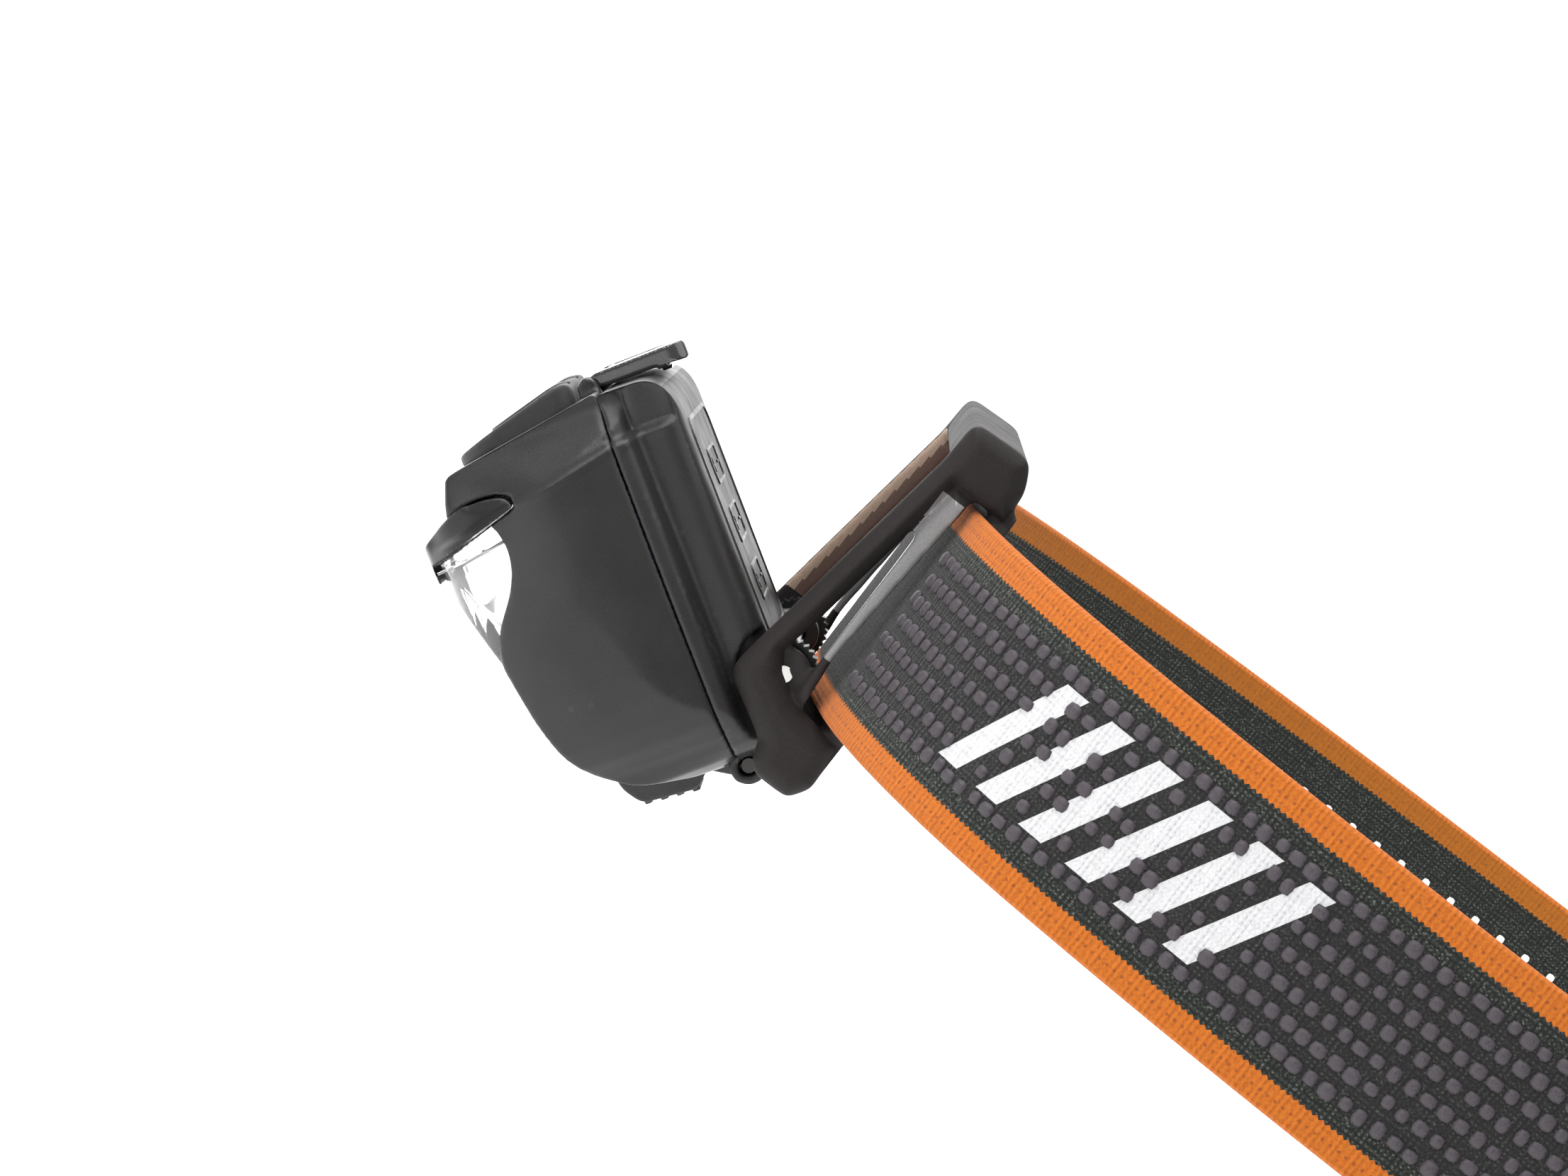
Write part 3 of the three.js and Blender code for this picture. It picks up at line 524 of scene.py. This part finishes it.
def with_modifiers(mesh, *modifiers):
    """The mesh after some modifiers, each given as (type, settings)."""
    carrier = bpy.data.objects.new("carrier", mesh)
    bpy.context.scene.collection.objects.link(carrier)
    for kind, settings in modifiers:
        modifier = carrier.modifiers.new(kind, kind)
        for key, value in settings.items():
            setattr(modifier, key, value)
    bpy.context.view_layer.update()
    result = bpy.data.meshes.new_from_object(carrier.evaluated_get(bpy.context.evaluated_depsgraph_get()))
    bpy.data.objects.remove(carrier)
    return result


def smoothstep(low, high, value):
    t = np.clip((value - low) / (high - low), 0, 1)
    return t * t * (3 - 2 * t)


def distance_to(line, y, z):
    """Distance in mm from points to a line of (y, z) points, in a side view."""
    best = np.full(len(y), np.inf)
    for (y0, z0), (y1, z1) in zip(line, line[1:]):
        dy, dz = y1 - y0, z1 - z0
        along = np.clip(((y - y0) * dy + (z - z0) * dz) / (dy ** 2 + dz ** 2), 0, 1)
        best = np.minimum(best, np.hypot(y - y0 - along * dy, z - z0 - along * dz))
    return best


def crease_height(y):
    """Height of the crease along the lamp's flank, under its narrower shoulder."""
    front_y, front_z = CREASE_FRONT
    return np.where(
        y < HOUSING_EDGE_Y - SEAM_REACH, front_z + (y - front_y) * CREASE_SLOPE, CREASE_REAR_Z)


def flank(y, z, step):
    """How far a flank is drawn in, in mm: crowned along its height, and stepped in above the crease."""
    above = z - crease_height(y)
    crown = CROWN_DEPTH * ((z - CROWN_Z) / CROWN_REACH) ** 2
    shoulder = step * smoothstep(*SHOULDER_RISE, above)
    lean = SHOULDER_LEAN * np.clip(above, 0, None)
    ridge = RIDGE_HEIGHT * np.exp(-((above + RIDGE_BELOW) / RIDGE_WIDTH) ** 2)
    return crown + shoulder + lean - ridge


def narrowed(at, drawn_in):
    """Points with their flanks drawn in by an amount for each point."""
    x, y, z = at.T
    share = smoothstep(FLANK_START, FLANK_FULL, np.abs(x))
    return np.stack([x - np.sign(x) * drawn_in * share, y, z], 1)


def along_axis(axis, amount):
    """A move of some amount for each point, along one axis."""
    return np.eye(3)[axis] * amount[:, None]


def shape_housing(at):
    """Crowns the flanks towards their edges and draws the shoulder in above the crease."""
    _, y, z = at.T
    edge = RIM_DEPTH * np.clip(1 - distance_to(HOUSING_RIM, y, z) / RIM_REACH, 0, 1) ** 2
    to_seam = SEAM_CLOSING * smoothstep(HOUSING_EDGE_Y - SEAM_REACH, HOUSING_EDGE_Y, y)
    return narrowed(at, flank(y, z, SHOULDER_STEP) + edge) + along_axis(1, to_seam)


def shape_cover(at):
    """Carries the crease and the shoulder across the seam."""
    _, y, z = at.T
    above = smoothstep(*COVER_SHOULDER_RISE, z - crease_height(y))
    from_seam = smoothstep(COVER_EDGE_Y, COVER_EDGE_Y + COVER_SHOULDER_REACH, y)
    shoulder = COVER_SHOULDER_DEPTH * above * from_seam
    to_seam = -SEAM_CLOSING * smoothstep(COVER_EDGE_Y + SEAM_REACH, COVER_EDGE_Y, y)
    return narrowed(at, flank(y, z, SHOULDER_STEP) + shoulder) + along_axis(1, to_seam)


def shape_visor(at):
    """Leaves the visor's tails proud of the shoulder, narrows its tip and lifts its top to the housing."""
    _, y, z = at.T
    top_y, top_z = VISOR_TOP
    below_top = top_z + VISOR_SLOPE * (y - top_y) - z
    lift = VISOR_LIFT * (smoothstep(*VISOR_LIFT_DEPTHS, below_top) * smoothstep(*VISOR_LIFT_Y, y))
    tip = VISOR_TIP_DEPTH * smoothstep(*VISOR_TIP_Y, y) ** 2
    return narrowed(at, flank(y, z, VISOR_STEP) + tip) + along_axis(2, lift)


def sculpted(mesh, shape):
    """Moves the vertices of a mesh by a rule in the lamp's own upright frame, in mm."""
    count = len(mesh.vertices)
    at = np.empty(count * 3)
    mesh.vertices.foreach_get("co", at)
    turn = np.array(LAMP.to_3x3())
    origin = np.array(LAMP.translation)
    local = (at.reshape(-1, 3) - origin) @ turn / MM
    moved = shape(local) * MM @ turn.T + origin
    mesh.vertices.foreach_set("co", moved.ravel())
    mesh.update()


def softened(node, name, slot, look, voxel=0.3, rounds=6, shape=None):
    """A denser copy of a CAD node with moulded edges, which stands for the node."""
    source = frame["nodes"][node]
    mesh = with_modifiers(
        source.data.copy(),
        ("REMESH", {"mode": "VOXEL", "voxel_size": voxel * MM, "use_smooth_shade": True}),
        ("SMOOTH", {"factor": 0.5, "iterations": rounds}),
    )
    mesh.materials.clear()
    if shape:
        sculpted(mesh, shape)
    piece = new_piece(name, mesh, source["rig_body"], slot, look)
    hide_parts(node)
    return piece


def repaint(piece, look, chosen):
    """Gives a look to the faces that a rule picks by centre and normal, in the lamp's upright frame in mm."""
    mesh = piece.data
    mesh.materials.append(look)
    count = len(mesh.polygons)
    centres, normals = np.empty(count * 3), np.empty(count * 3)
    mesh.polygons.foreach_get("center", centres)
    mesh.polygons.foreach_get("normal", normals)
    turn = np.array(LAMP.to_3x3())
    local = (centres.reshape(-1, 3) - np.array(LAMP.translation)) @ turn / MM
    picked = chosen(local, normals.reshape(-1, 3) @ turn)
    index = np.empty(count, int)
    mesh.polygons.foreach_get("material_index", index)
    index[picked] = len(mesh.materials) - 1
    mesh.polygons.foreach_set("material_index", index)


def bracket_frame_point(at):
    """From the lamp's upright frame to the bracket's, both about the tilt axis, in mm."""
    x, y, z = at.T
    c, s = math.cos(REST_TILT), math.sin(REST_TILT)
    return np.stack([x, y * c - z * s, y * s + z * c], 1)


def shape_bracket(at):
    """Rounds the outer faces of the side plates towards their outline, like half-round bars."""
    x, y, z = bracket_frame_point(at).T
    edge = np.clip(1 - distance_to(ARM_RIM, y, z) / ARM_ROUNDING, 0, 1)
    drawn_in = ARM_ROUND_DEPTH * edge ** 2 * smoothstep(ARM_INNER_X, ARM_OUTER_X, np.abs(x))
    return at - along_axis(0, np.sign(x) * drawn_in)


def on_cover_rear(at, normal):
    """Whether a face is on the glossy rear of the cover."""
    return (normal[:, 1] > FACING_REAR) & (at[:, 1] > COVER_REAR_Y)


def on_blade(at, normal):
    """Whether a face belongs to one of the two curved bars beside the headband, which get a painted
    highlight.
    """
    x, y, z = bracket_frame_point(at).T
    in_height = (z > BLADE_Z[0]) & (z < BLADE_Z[1])
    return (np.abs(x) > BLADE_INNER_X) & (y > np.interp(z, *BLADE_FRONT)) & (y < BLADE_REAR_Y) & in_height


def on_inner_arm(at, normal):
    """Whether a face is on an arm's inner side, where a warm brown light is painted into the colour."""
    x, y, z = bracket_frame_point(at).T
    in_arm = (np.abs(x) > INNER_ARM_X[0]) & (np.abs(x) < INNER_ARM_X[1])
    inward = -np.sign(x) * normal[:, 0]
    return in_arm & (inward > FACING_INWARD) & (z > INNER_ARM_Z) & (y < INNER_ARM_Y)


def on_thin_arm(at, normal):
    """Whether a face is on the front strip of an arm's inner side, where the painted light is paler, as if
    more light came through.
    """
    _, y, z = bracket_frame_point(at).T
    return on_inner_arm(at, normal) & (y < STRIP_SLOPE * z + STRIP_Y)


# ---------------------------------------------------------------- headband

def strap_places(distance):
    """Points, outward normals and tangents of half the band, at distances in mm from the front centre."""
    distance = np.asarray(distance, float)
    spot = np.zeros((len(distance), 2))
    heading = np.zeros(len(distance))
    x, y, turn, start = 0.0, STRAP_FRONT_Y, 0.0, 0.0
    for radius, end_deg in STRAP_ARCS:
        end = math.radians(end_deg)
        run = radius * (end - turn)
        here = distance >= start
        angle = turn + np.minimum(distance[here] - start, run) / radius
        spot[here, 0] = x + radius * (np.sin(angle) - math.sin(turn))
        spot[here, 1] = y + radius * (math.cos(turn) - np.cos(angle))
        heading[here] = angle
        x += radius * (math.sin(end) - math.sin(turn))
        y += radius * (math.cos(turn) - math.cos(end))
        turn, start = end, start + run
    past = distance > start
    spot[past, 0] -= distance[past] - start
    normal = np.stack([np.sin(heading), -np.cos(heading)], 1)
    tangent = np.stack([np.cos(heading), np.sin(heading)], 1)
    return spot, normal, tangent


ARC_LENGTH = sum(
    radius * math.radians(end - begin)
    for (radius, end), begin in zip(STRAP_ARCS, [0] + [end for _, end in STRAP_ARCS])
)
HALF_LENGTH = ARC_LENGTH + STRAP_FLAT


SECTION_POINTS = 38
LOOP_POINTS, TAIL_POINTS = 300, 70


def strap_section():
    """Points (offset from the middle line, height) round the band, and which face they are on."""
    half, edge = STRAP_WIDTH / 2, STRAP_THICK / 2
    flat = np.linspace(-half + edge, half - edge, SECTION_POINTS)
    turns = np.radians([30, 60, 90, 120, 150])
    top = [(edge * math.cos(t), half - edge + edge * math.sin(t)) for t in turns]
    outer = [(edge, z) for z in flat]
    inner = [(-edge, z) for z in flat[::-1]]
    bottom = [(-o, -z) for o, z in top]
    points = np.array(outer + top + inner + bottom)
    counts = (len(flat), len(turns), len(flat), len(turns))
    return points, np.repeat([1.0, 0.5, 0.0, 0.5], counts)


def put_attributes(mesh, **attributes):
    """Stores numbers on the vertices of a mesh, for its material to read."""
    for key, values in attributes.items():
        layer = mesh.attributes.new(key, "FLOAT", "POINT")
        layer.data.foreach_set("value", np.array(values, np.float32))


def band_mesh(name, spots, normals, along, closed, lift=0.0):
    """The band's section swept along its middle line, with the attributes that its knit is drawn from."""
    section, outside = strap_section()
    steps, around = len(spots), len(section)
    offset = section[:, 0] + lift
    height = section[:, 1]
    at = spots[:, None, :] + normals[:, None, :] * offset[None, :, None]
    heights = np.broadcast_to(height[None, :, None], (steps, around, 1))
    points = np.concatenate([at, heights], 2).reshape(-1, 3)
    rows = np.arange(steps if closed else steps - 1)[:, None]
    cols = np.arange(around)[None, :]
    a = rows * around + cols
    b = rows * around + (cols + 1) % around
    c = (rows + 1) % steps * around + (cols + 1) % around
    d = (rows + 1) % steps * around + cols
    faces = np.stack([a, d, c, b], 2).reshape(-1, 4).tolist()
    if not closed:
        faces.append(list(range(around)))
        faces.append(list(range((steps - 1) * around, steps * around))[::-1])
    mesh = mesh_from(name, points * MM, faces)
    put_attributes(
        mesh,
        along=np.repeat(along, around),
        across=np.tile(height, steps),
        outside=np.tile(outside, steps),
    )
    return mesh


def headband():
    """The elastic loop. Its right half mirrors its left half."""
    half = np.linspace(0, HALF_LENGTH, LOOP_POINTS)
    spot, normal, _ = strap_places(half)
    flip = np.array([-1, 1])
    spots = np.concatenate([spot, spot[-2:0:-1] * flip])
    normals = np.concatenate([normal, normal[-2:0:-1] * flip])
    along = np.concatenate([half, half[-2:0:-1]])
    mesh = band_mesh("knit_band", spots, normals, along, closed=True)
    band = new_piece("knit_band", mesh, "bracket", "band_knit", KNIT)
    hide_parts("headband")
    return band


def tail_arc():
    """How far the tail's far end lies round the last arc, in mm, from the box of its CAD node."""
    radius = STRAP_ARCS[-1][0]
    reach = -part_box("strap_tail")[0].x / MM - STRAP_FLAT
    outer = radius + STRAP_THICK * 1.5 + TAIL_GAP
    return radius * math.asin(min(1.0, reach / outer))


def tail():
    """The free end, doubled back outside the band from the slider along the wearer's right."""
    reach = np.linspace(ARC_LENGTH - tail_arc(), HALF_LENGTH, TAIL_POINTS)
    spot, normal, _ = strap_places(reach)
    spot[:, 0] *= -1
    normal[:, 0] *= -1
    slider_end = (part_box("strap_tail")[1].x / MM, spot[-1, 1])
    spots = np.concatenate([spot, [slider_end]])
    normals = np.concatenate([normal, normal[-1:]])
    along = np.concatenate([reach, [HALF_LENGTH - 2 * STRAP_FLAT + 1]])
    mesh = band_mesh("knit_tail", spots, normals, along, closed=False, lift=STRAP_THICK + TAIL_GAP)
    piece = new_piece("knit_tail", mesh, "bracket", "band_knit", KNIT)
    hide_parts("strap_tail")
    return piece


# A dome's rings as (share of its radius, share of its height), under a point at its top.
DOME_RINGS = ((1.0, -0.12), (0.94, 0.35), (0.7, 0.78), (0.35, 0.96))
DOME_SIDES = 8
DOME_SQUARENESS = 0.35
DOME_SEED = 5


def dome_shape():
    """Vertices and faces of one dome with a slightly square outline, of unit size."""
    angles = np.arange(DOME_SIDES) / DOME_SIDES * math.tau
    square_out = 1 / np.maximum(np.abs(np.cos(angles)), np.abs(np.sin(angles))) ** DOME_SQUARENESS
    points = [
        (r * out * math.cos(a), r * out * math.sin(a), h)
        for r, h in DOME_RINGS for out, a in zip(square_out, angles)
    ]
    points.append((0, 0, 1.0))
    faces = []
    for low in range(0, (len(DOME_RINGS) - 1) * DOME_SIDES, DOME_SIDES):
        high = low + DOME_SIDES
        for i in range(DOME_SIDES):
            after = (i + 1) % DOME_SIDES
            faces.append((low + i, low + after, high + after, high + i))
    last = (len(DOME_RINGS) - 1) * DOME_SIDES
    top = last + DOME_SIDES
    faces += [(last + i, last + (i + 1) % DOME_SIDES, top) for i in range(DOME_SIDES)]
    faces.append(tuple(range(DOME_SIDES))[::-1])
    return np.array(points), faces


def domes(name, places, size, body, slot, look, uneven=0.0):
    """Many small domes. Each place is (point, outward normal, along direction, mm along, mm across)."""
    random = np.random.default_rng(DOME_SEED)
    shape, sides = dome_shape()
    points, faces, along, across = [], [], [], []
    for spot, normal, forward, s, w in places:
        side = np.cross(normal, forward)
        length, width, height = np.array(size) * (1 + uneven * random.uniform(-1, 1, 3))
        middle = spot + (forward + side) * uneven * random.uniform(-1, 1)
        faces.extend(tuple(i + len(points) for i in f) for f in sides)
        points.extend(middle + shape @ np.array([length * forward, width * side, height * normal]))
        along.extend([s] * len(shape))
        across.extend([w] * len(shape))
    mesh = mesh_from(name, np.array(points) * MM, faces)
    put_attributes(mesh, along=along, across=across)
    return new_piece(name, mesh, body, slot, look)


def under_tail(distance, side):
    """Whether a place on the band is covered by the slider's travel or by the free end."""
    under_slider = distance > HALF_LENGTH - STRAP_FLAT - BUMP_MARGIN
    return under_slider or side < 0 and distance > ARC_LENGTH - tail_arc() - BUMP_MARGIN


def band_places(rows, pitch, lift, start, end):
    """Staggered places on one face of the band, on both halves. A negative lift means the inner face."""
    found = []
    for k, w in enumerate(rows):
        reach = np.arange(start + (k % 2) * pitch / 2, end, pitch)
        spot, normal, tangent = strap_places(reach)
        for s, p, n, t in zip(reach, spot, normal, tangent):
            if lift > 0 and in_bar(s, w):
                continue
            for side in (1, -1):
                if lift > 0 and under_tail(s, side):
                    continue
                normal3 = np.array([n[0] * side, n[1], 0]) * math.copysign(1, lift)
                forward = np.array([t[0] * side, t[1], 0])
                at = np.array([p[0] * side, p[1], w]) + normal3 * abs(lift)
                found.append((at, normal3, forward, s, w))
    return found


# ---------------------------------------------------------------- details

def ribbon(points, width, height):
    """A raised line along points (x, z) on a plane at y = 0, narrower at its top, as vertices and faces."""
    points = np.array(points, float)
    ahead = np.gradient(points, axis=0)
    ahead /= np.linalg.norm(ahead, axis=1)[:, None]
    side = np.stack([-ahead[:, 1], ahead[:, 0]], 1) * width / 2
    verts = []
    for p, s in zip(points, side):
        for share, rise in ((1, 0), (0.7, height), (-0.7, height), (-1, 0)):
            verts.append((p[0] + s[0] * share, rise, p[1] + s[1] * share))
    faces = []
    for i in range(len(points) - 1):
        for k in range(4):
            a, b = i * 4 + k, i * 4 + (k + 1) % 4
            faces.append((a, a + 4, b + 4, b))
    faces.append((0, 1, 2, 3))
    end = (len(points) - 1) * 4
    faces.append((end + 3, end + 2, end + 1, end))
    return verts, faces


def closed_loop(points):
    return [*points, points[0], points[1]]


def rounded_box(x, z, half_x, half_z, radius, steps=6):
    """Points round a rectangle with round corners."""
    found = []
    for sx, sz, begin in ((1, 1, 0), (-1, 1, 90), (-1, -1, 180), (1, -1, 270)):
        for k in range(steps + 1):
            t = math.radians(begin + 90 * k / steps)
            found.append((x + sx * (half_x - radius) + radius * math.cos(t),
                          z + sz * (half_z - radius) + radius * math.sin(t)))
    return found


def raised_lines(name, lines, matrix, body, slot, look):
    """Raised lines, given as (points, width, height) in mm, laid on a plane by a matrix."""
    verts, faces = [], []
    for points, width, height in lines:
        more, sides = ribbon(points, width, height)
        faces.extend(tuple(i + len(verts) for i in f) for f in sides)
        verts.extend(more)
    mesh = mesh_from(name, [matrix @ (Vector(v) * MM) for v in verts], faces, smooth=False)
    return new_piece(name, mesh, body, slot, look)


# The marks on the flat rear face of the cover, in mm: a frame round three cells.
COVER_FACE_Y = -0.5
FRAME_MIDDLE_Z, FRAME_HALF_X, FRAME_HALF_Z, FRAME_ROUND = 17.0, 17.5, 14.2, 2.5
CELL_ROWS = (9.5, 17.0, 24.5)
CELL_HALF_X, CELL_HALF_Z, CELL_ROUND = 6.5, 2.1, 0.6
CELL_MARK_HEIGHT = 0.18


def cell_mark(x, z):
    """A plain picture of a battery cell, with its plus and minus ends."""
    outline = closed_loop(rounded_box(x, z, CELL_HALF_X, CELL_HALF_Z, CELL_ROUND))
    tip = [(x + 6.9, z - 0.9), (x + 6.9, z + 0.9)]
    plus = [[(x + 3.2, z), (x + 5.0, z)], [(x + 4.1, z - 0.9), (x + 4.1, z + 0.9)]]
    minus = [(x - 5.0, z), (x - 3.4, z)]
    lines = [(outline, 0.45), (tip, 0.5)] + [(line, 0.4) for line in (*plus, minus)]
    return [(line, width, CELL_MARK_HEIGHT) for line, width in lines]


def cover_marks():
    """Generic frame line and cell pictures on the flat rear face of the cover."""
    plane = LAMP @ Matrix.Translation((0, COVER_FACE_Y * MM, 0))
    border = rounded_box(0, FRAME_MIDDLE_Z, FRAME_HALF_X, FRAME_HALF_Z, FRAME_ROUND)
    lines = [(closed_loop(border), 0.6, 0.2)]
    for z in CELL_ROWS:
        lines += cell_mark(0, z)
    return raised_lines("cover_marks", lines, plane, "rear_cover", "shell_plastic", SHELL)


# Ribs on the lens's flank, from front to rear as (forward, up) in mm.
LENS_RIBS = (((33.4, 25.2), (25.4, 25.7)), ((32.6, 25.9), (25.4, 26.6)), ((30.4, 26.6), (25.4, 27.4)))
LENS_RIB_WIDTH, LENS_RIB_HEIGHT = 0.3, 0.14
LENS_FLANK_X = 27.15


def lens_ribs(side, name):
    """Fine ribs moulded along the lens's flank, under the brow."""
    out = Matrix.Translation((side * LENS_FLANK_X * MM, 0, 0))
    plane = LAMP @ out @ Matrix.Rotation(math.radians(-90 * side), 4, "Z")
    lines = [
        ([(forward * side, up) for forward, up in rib], LENS_RIB_WIDTH, LENS_RIB_HEIGHT) for rib in LENS_RIBS
    ]
    return raised_lines(name, lines, plane, "front_housing", "lens_clear", CLEAR)


# The arrow's place on the latch's outer face, in mm.
ARROW_Y, ARROW_Z = -4.4, 40.02
ARROW_WIDTH, ARROW_HEIGHT = 0.7, 0.2


def latch_arrow():
    """A generic arrow that shows which way the latch lifts."""
    place = Matrix.Translation((0, ARROW_Y * MM, ARROW_Z * MM))
    plane = LAMP @ place @ Matrix.Rotation(math.radians(90), 4, "X")
    shaft = [(0, 3.2), (0, -3.0)]
    head = [(-1.9, -1.2), (0, -3.2), (1.9, -1.2)]
    foot = [(-3.4, 4.0), (3.4, 4.0)]
    lines = [(line, ARROW_WIDTH, ARROW_HEIGHT) for line in (shaft, head, foot)]
    return raised_lines("latch_arrow", lines, plane, "latch_lever", "trim_plastic", TRIM)


# ---------------------------------------------------------------- studio

# How bright the white surroundings are as light and as backdrop.
SKY_LIGHT, SKY_BACKDROP = 0.5, 1.0
FLOOR_HALF_SIZE = 4.0

# Softboxes as (name, place, aim, size, power), in metres and watts.
SOFTBOXES = (
    ("top_light", (0.0, -0.5, 0.75), (0, 0.0, 0), (1.1, 0.9), 14),
    ("back_light", (-0.8, -0.15, 0.25), (0, 0, 0), (0.9, 0.9), 6),
    ("overhead_light", (0.2, 0.3, 1.0), (0, 0.05, 0), (1.4, 1.4), 9),
    ("side_light", (0.7, -0.6, 0.5), (0, 0, 0), (0.35, 0.35), 3.5),
)


def surroundings():
    """White all round, at one strength where the camera sees it and at another as light."""
    world = bpy.data.worlds.new("studio")
    bpy.context.scene.world = world
    world.use_nodes = True
    tree = world.node_tree
    ray = tree.nodes.new("ShaderNodeLightPath").outputs["Is Camera Ray"]
    shade = tree.nodes.new("ShaderNodeMix")
    shade.data_type = "FLOAT"
    tree.links.new(ray, shade.inputs["Factor"])
    shade.inputs["A"].default_value = SKY_LIGHT
    shade.inputs["B"].default_value = SKY_BACKDROP
    background = tree.nodes["Background"]
    background.inputs["Color"].default_value = (1, 1, 1, 1)
    tree.links.new(shade.outputs["Result"], background.inputs["Strength"])


def softbox(name, at, aim, size, power):
    lamp = bpy.data.lights.new(name, "AREA")
    lamp.shape = "RECTANGLE"
    lamp.size, lamp.size_y = size
    lamp.energy = power
    holder = bpy.data.objects.new(name, lamp)
    bpy.context.scene.collection.objects.link(holder)
    holder.location = at
    holder.rotation_mode = "QUATERNION"
    holder.rotation_quaternion = (Vector(aim) - Vector(at)).to_track_quat("-Z", "Y")


def floor():
    low = cad_box[0].z - FLOOR_DROP
    side = FLOOR_HALF_SIZE
    points = [(-side, -side, low), (side, -side, low), (side, side, low), (-side, side, low)]
    mesh = mesh_from("floor", points, [(0, 1, 2, 3)], smooth=False)
    mesh.materials.append(paper_floor())
    plane = bpy.data.objects.new("floor", mesh)
    bpy.context.scene.collection.objects.link(plane)


def camera():
    """Looks along its azimuth and elevation, rolled about its line of sight."""
    azimuth, elevation, roll = (math.radians(v) for v in (CAMERA_AZIMUTH, CAMERA_ELEVATION, CAMERA_ROLL))
    level_share = math.cos(elevation)
    look = Vector((-math.sin(azimuth) * level_share, math.cos(azimuth) * level_share, -math.sin(elevation)))
    level = look.cross(Vector((0, 0, 1))).normalized()
    upright = level.cross(look)
    right = math.cos(roll) * level + math.sin(roll) * upright
    up = math.cos(roll) * upright - math.sin(roll) * level
    data = bpy.data.cameras.new("camera")
    data.sensor_width = CAMERA_SENSOR
    data.lens = CAMERA_LENS
    data.clip_start, data.clip_end = 0.01, 20
    holder = bpy.data.objects.new("camera", data)
    bpy.context.scene.collection.objects.link(holder)
    turn = Matrix((right, up, -look)).transposed().to_4x4()
    holder.matrix_world = Matrix.Translation(CAMERA_AT) @ turn
    bpy.context.scene.camera = holder


# ---------------------------------------------------------------- the scene

for node, look in NODE_LOOKS.items():
    materials = frame["nodes"][node].data.materials
    materials.clear()
    materials.append(look)

# The larger mouldings are sculpted further, and some of their faces take other looks.
softened("front_housing", "housing_shell", "shell_plastic", SHELL, rounds=8, shape=shape_housing)
cover = softened("rear_cover", "cover_shell", "shell_plastic", SHELL, rounds=8, shape=shape_cover)
repaint(cover, GLOSS, on_cover_rear)
softened("brow_trim", "visor", "trim_plastic", TRIM, voxel=0.2, rounds=5, shape=shape_visor)
bracket = softened("bracket_frame", "bracket", "bracket_plastic", BRACKET, rounds=22, shape=shape_bracket)
for look, rule in ((BLADE_HIGHLIGHT, on_blade), (PAINTED_ARM_LIGHT, on_inner_arm), (PAINTED_ARM_LIGHT_THIN, on_thin_arm)):
    repaint(bracket, look, rule)

# Small mouldings as (CAD node, piece, slot, look, voxel in mm, rounds of smoothing).
for node, name, slot, look, voxel, rounds in (
    ("latch_lever", "latch", "trim_plastic", TAB, 0.18, 4),
    ("button_pad", "pad", "rubber_part", RUBBER, 0.22, 5),
    ("power_button", "power_cap", "rubber_part", RUBBER, 0.15, 4),
    ("mode_button", "mode_cap", "rubber_part", RUBBER, 0.15, 4),
    ("port_plug", "plug", "rubber_part", RUBBER, 0.16, 3),
    ("front_lens", "lens", "lens_clear", CLEAR, 0.22, 5),
    ("adjuster_slider", "slider", "trim_plastic", TRIM, 0.25, 4),
):
    softened(node, name, slot, look, voxel, rounds)

band = headband()
loose = tail()
bump_places = band_places(BUMP_ROWS, BUMP_PITCH, STRAP_THICK / 2, BUMP_START, HALF_LENGTH)
grip_places = band_places(GRIP_ROWS, GRIP_PITCH, -STRAP_THICK / 2, GRIP_START, HALF_LENGTH - STRAP_FLAT)
bumps = domes("band_bumps", bump_places, BUMP_SIZE, "bracket", "band_knit", BUMPS, uneven=BUMP_UNEVEN)
grips = domes("grip_dots", grip_places, GRIP_SIZE, "bracket", "band_knit", SILICONE)

cover_marks()
latch_arrow()
lens_ribs(1, "lens_ribs_left")
lens_ribs(-1, "lens_ribs_right")

surroundings()
for box in SOFTBOXES:
    softbox(*box)
floor()
camera()
bpy.context.scene.view_settings.view_transform = "Standard"
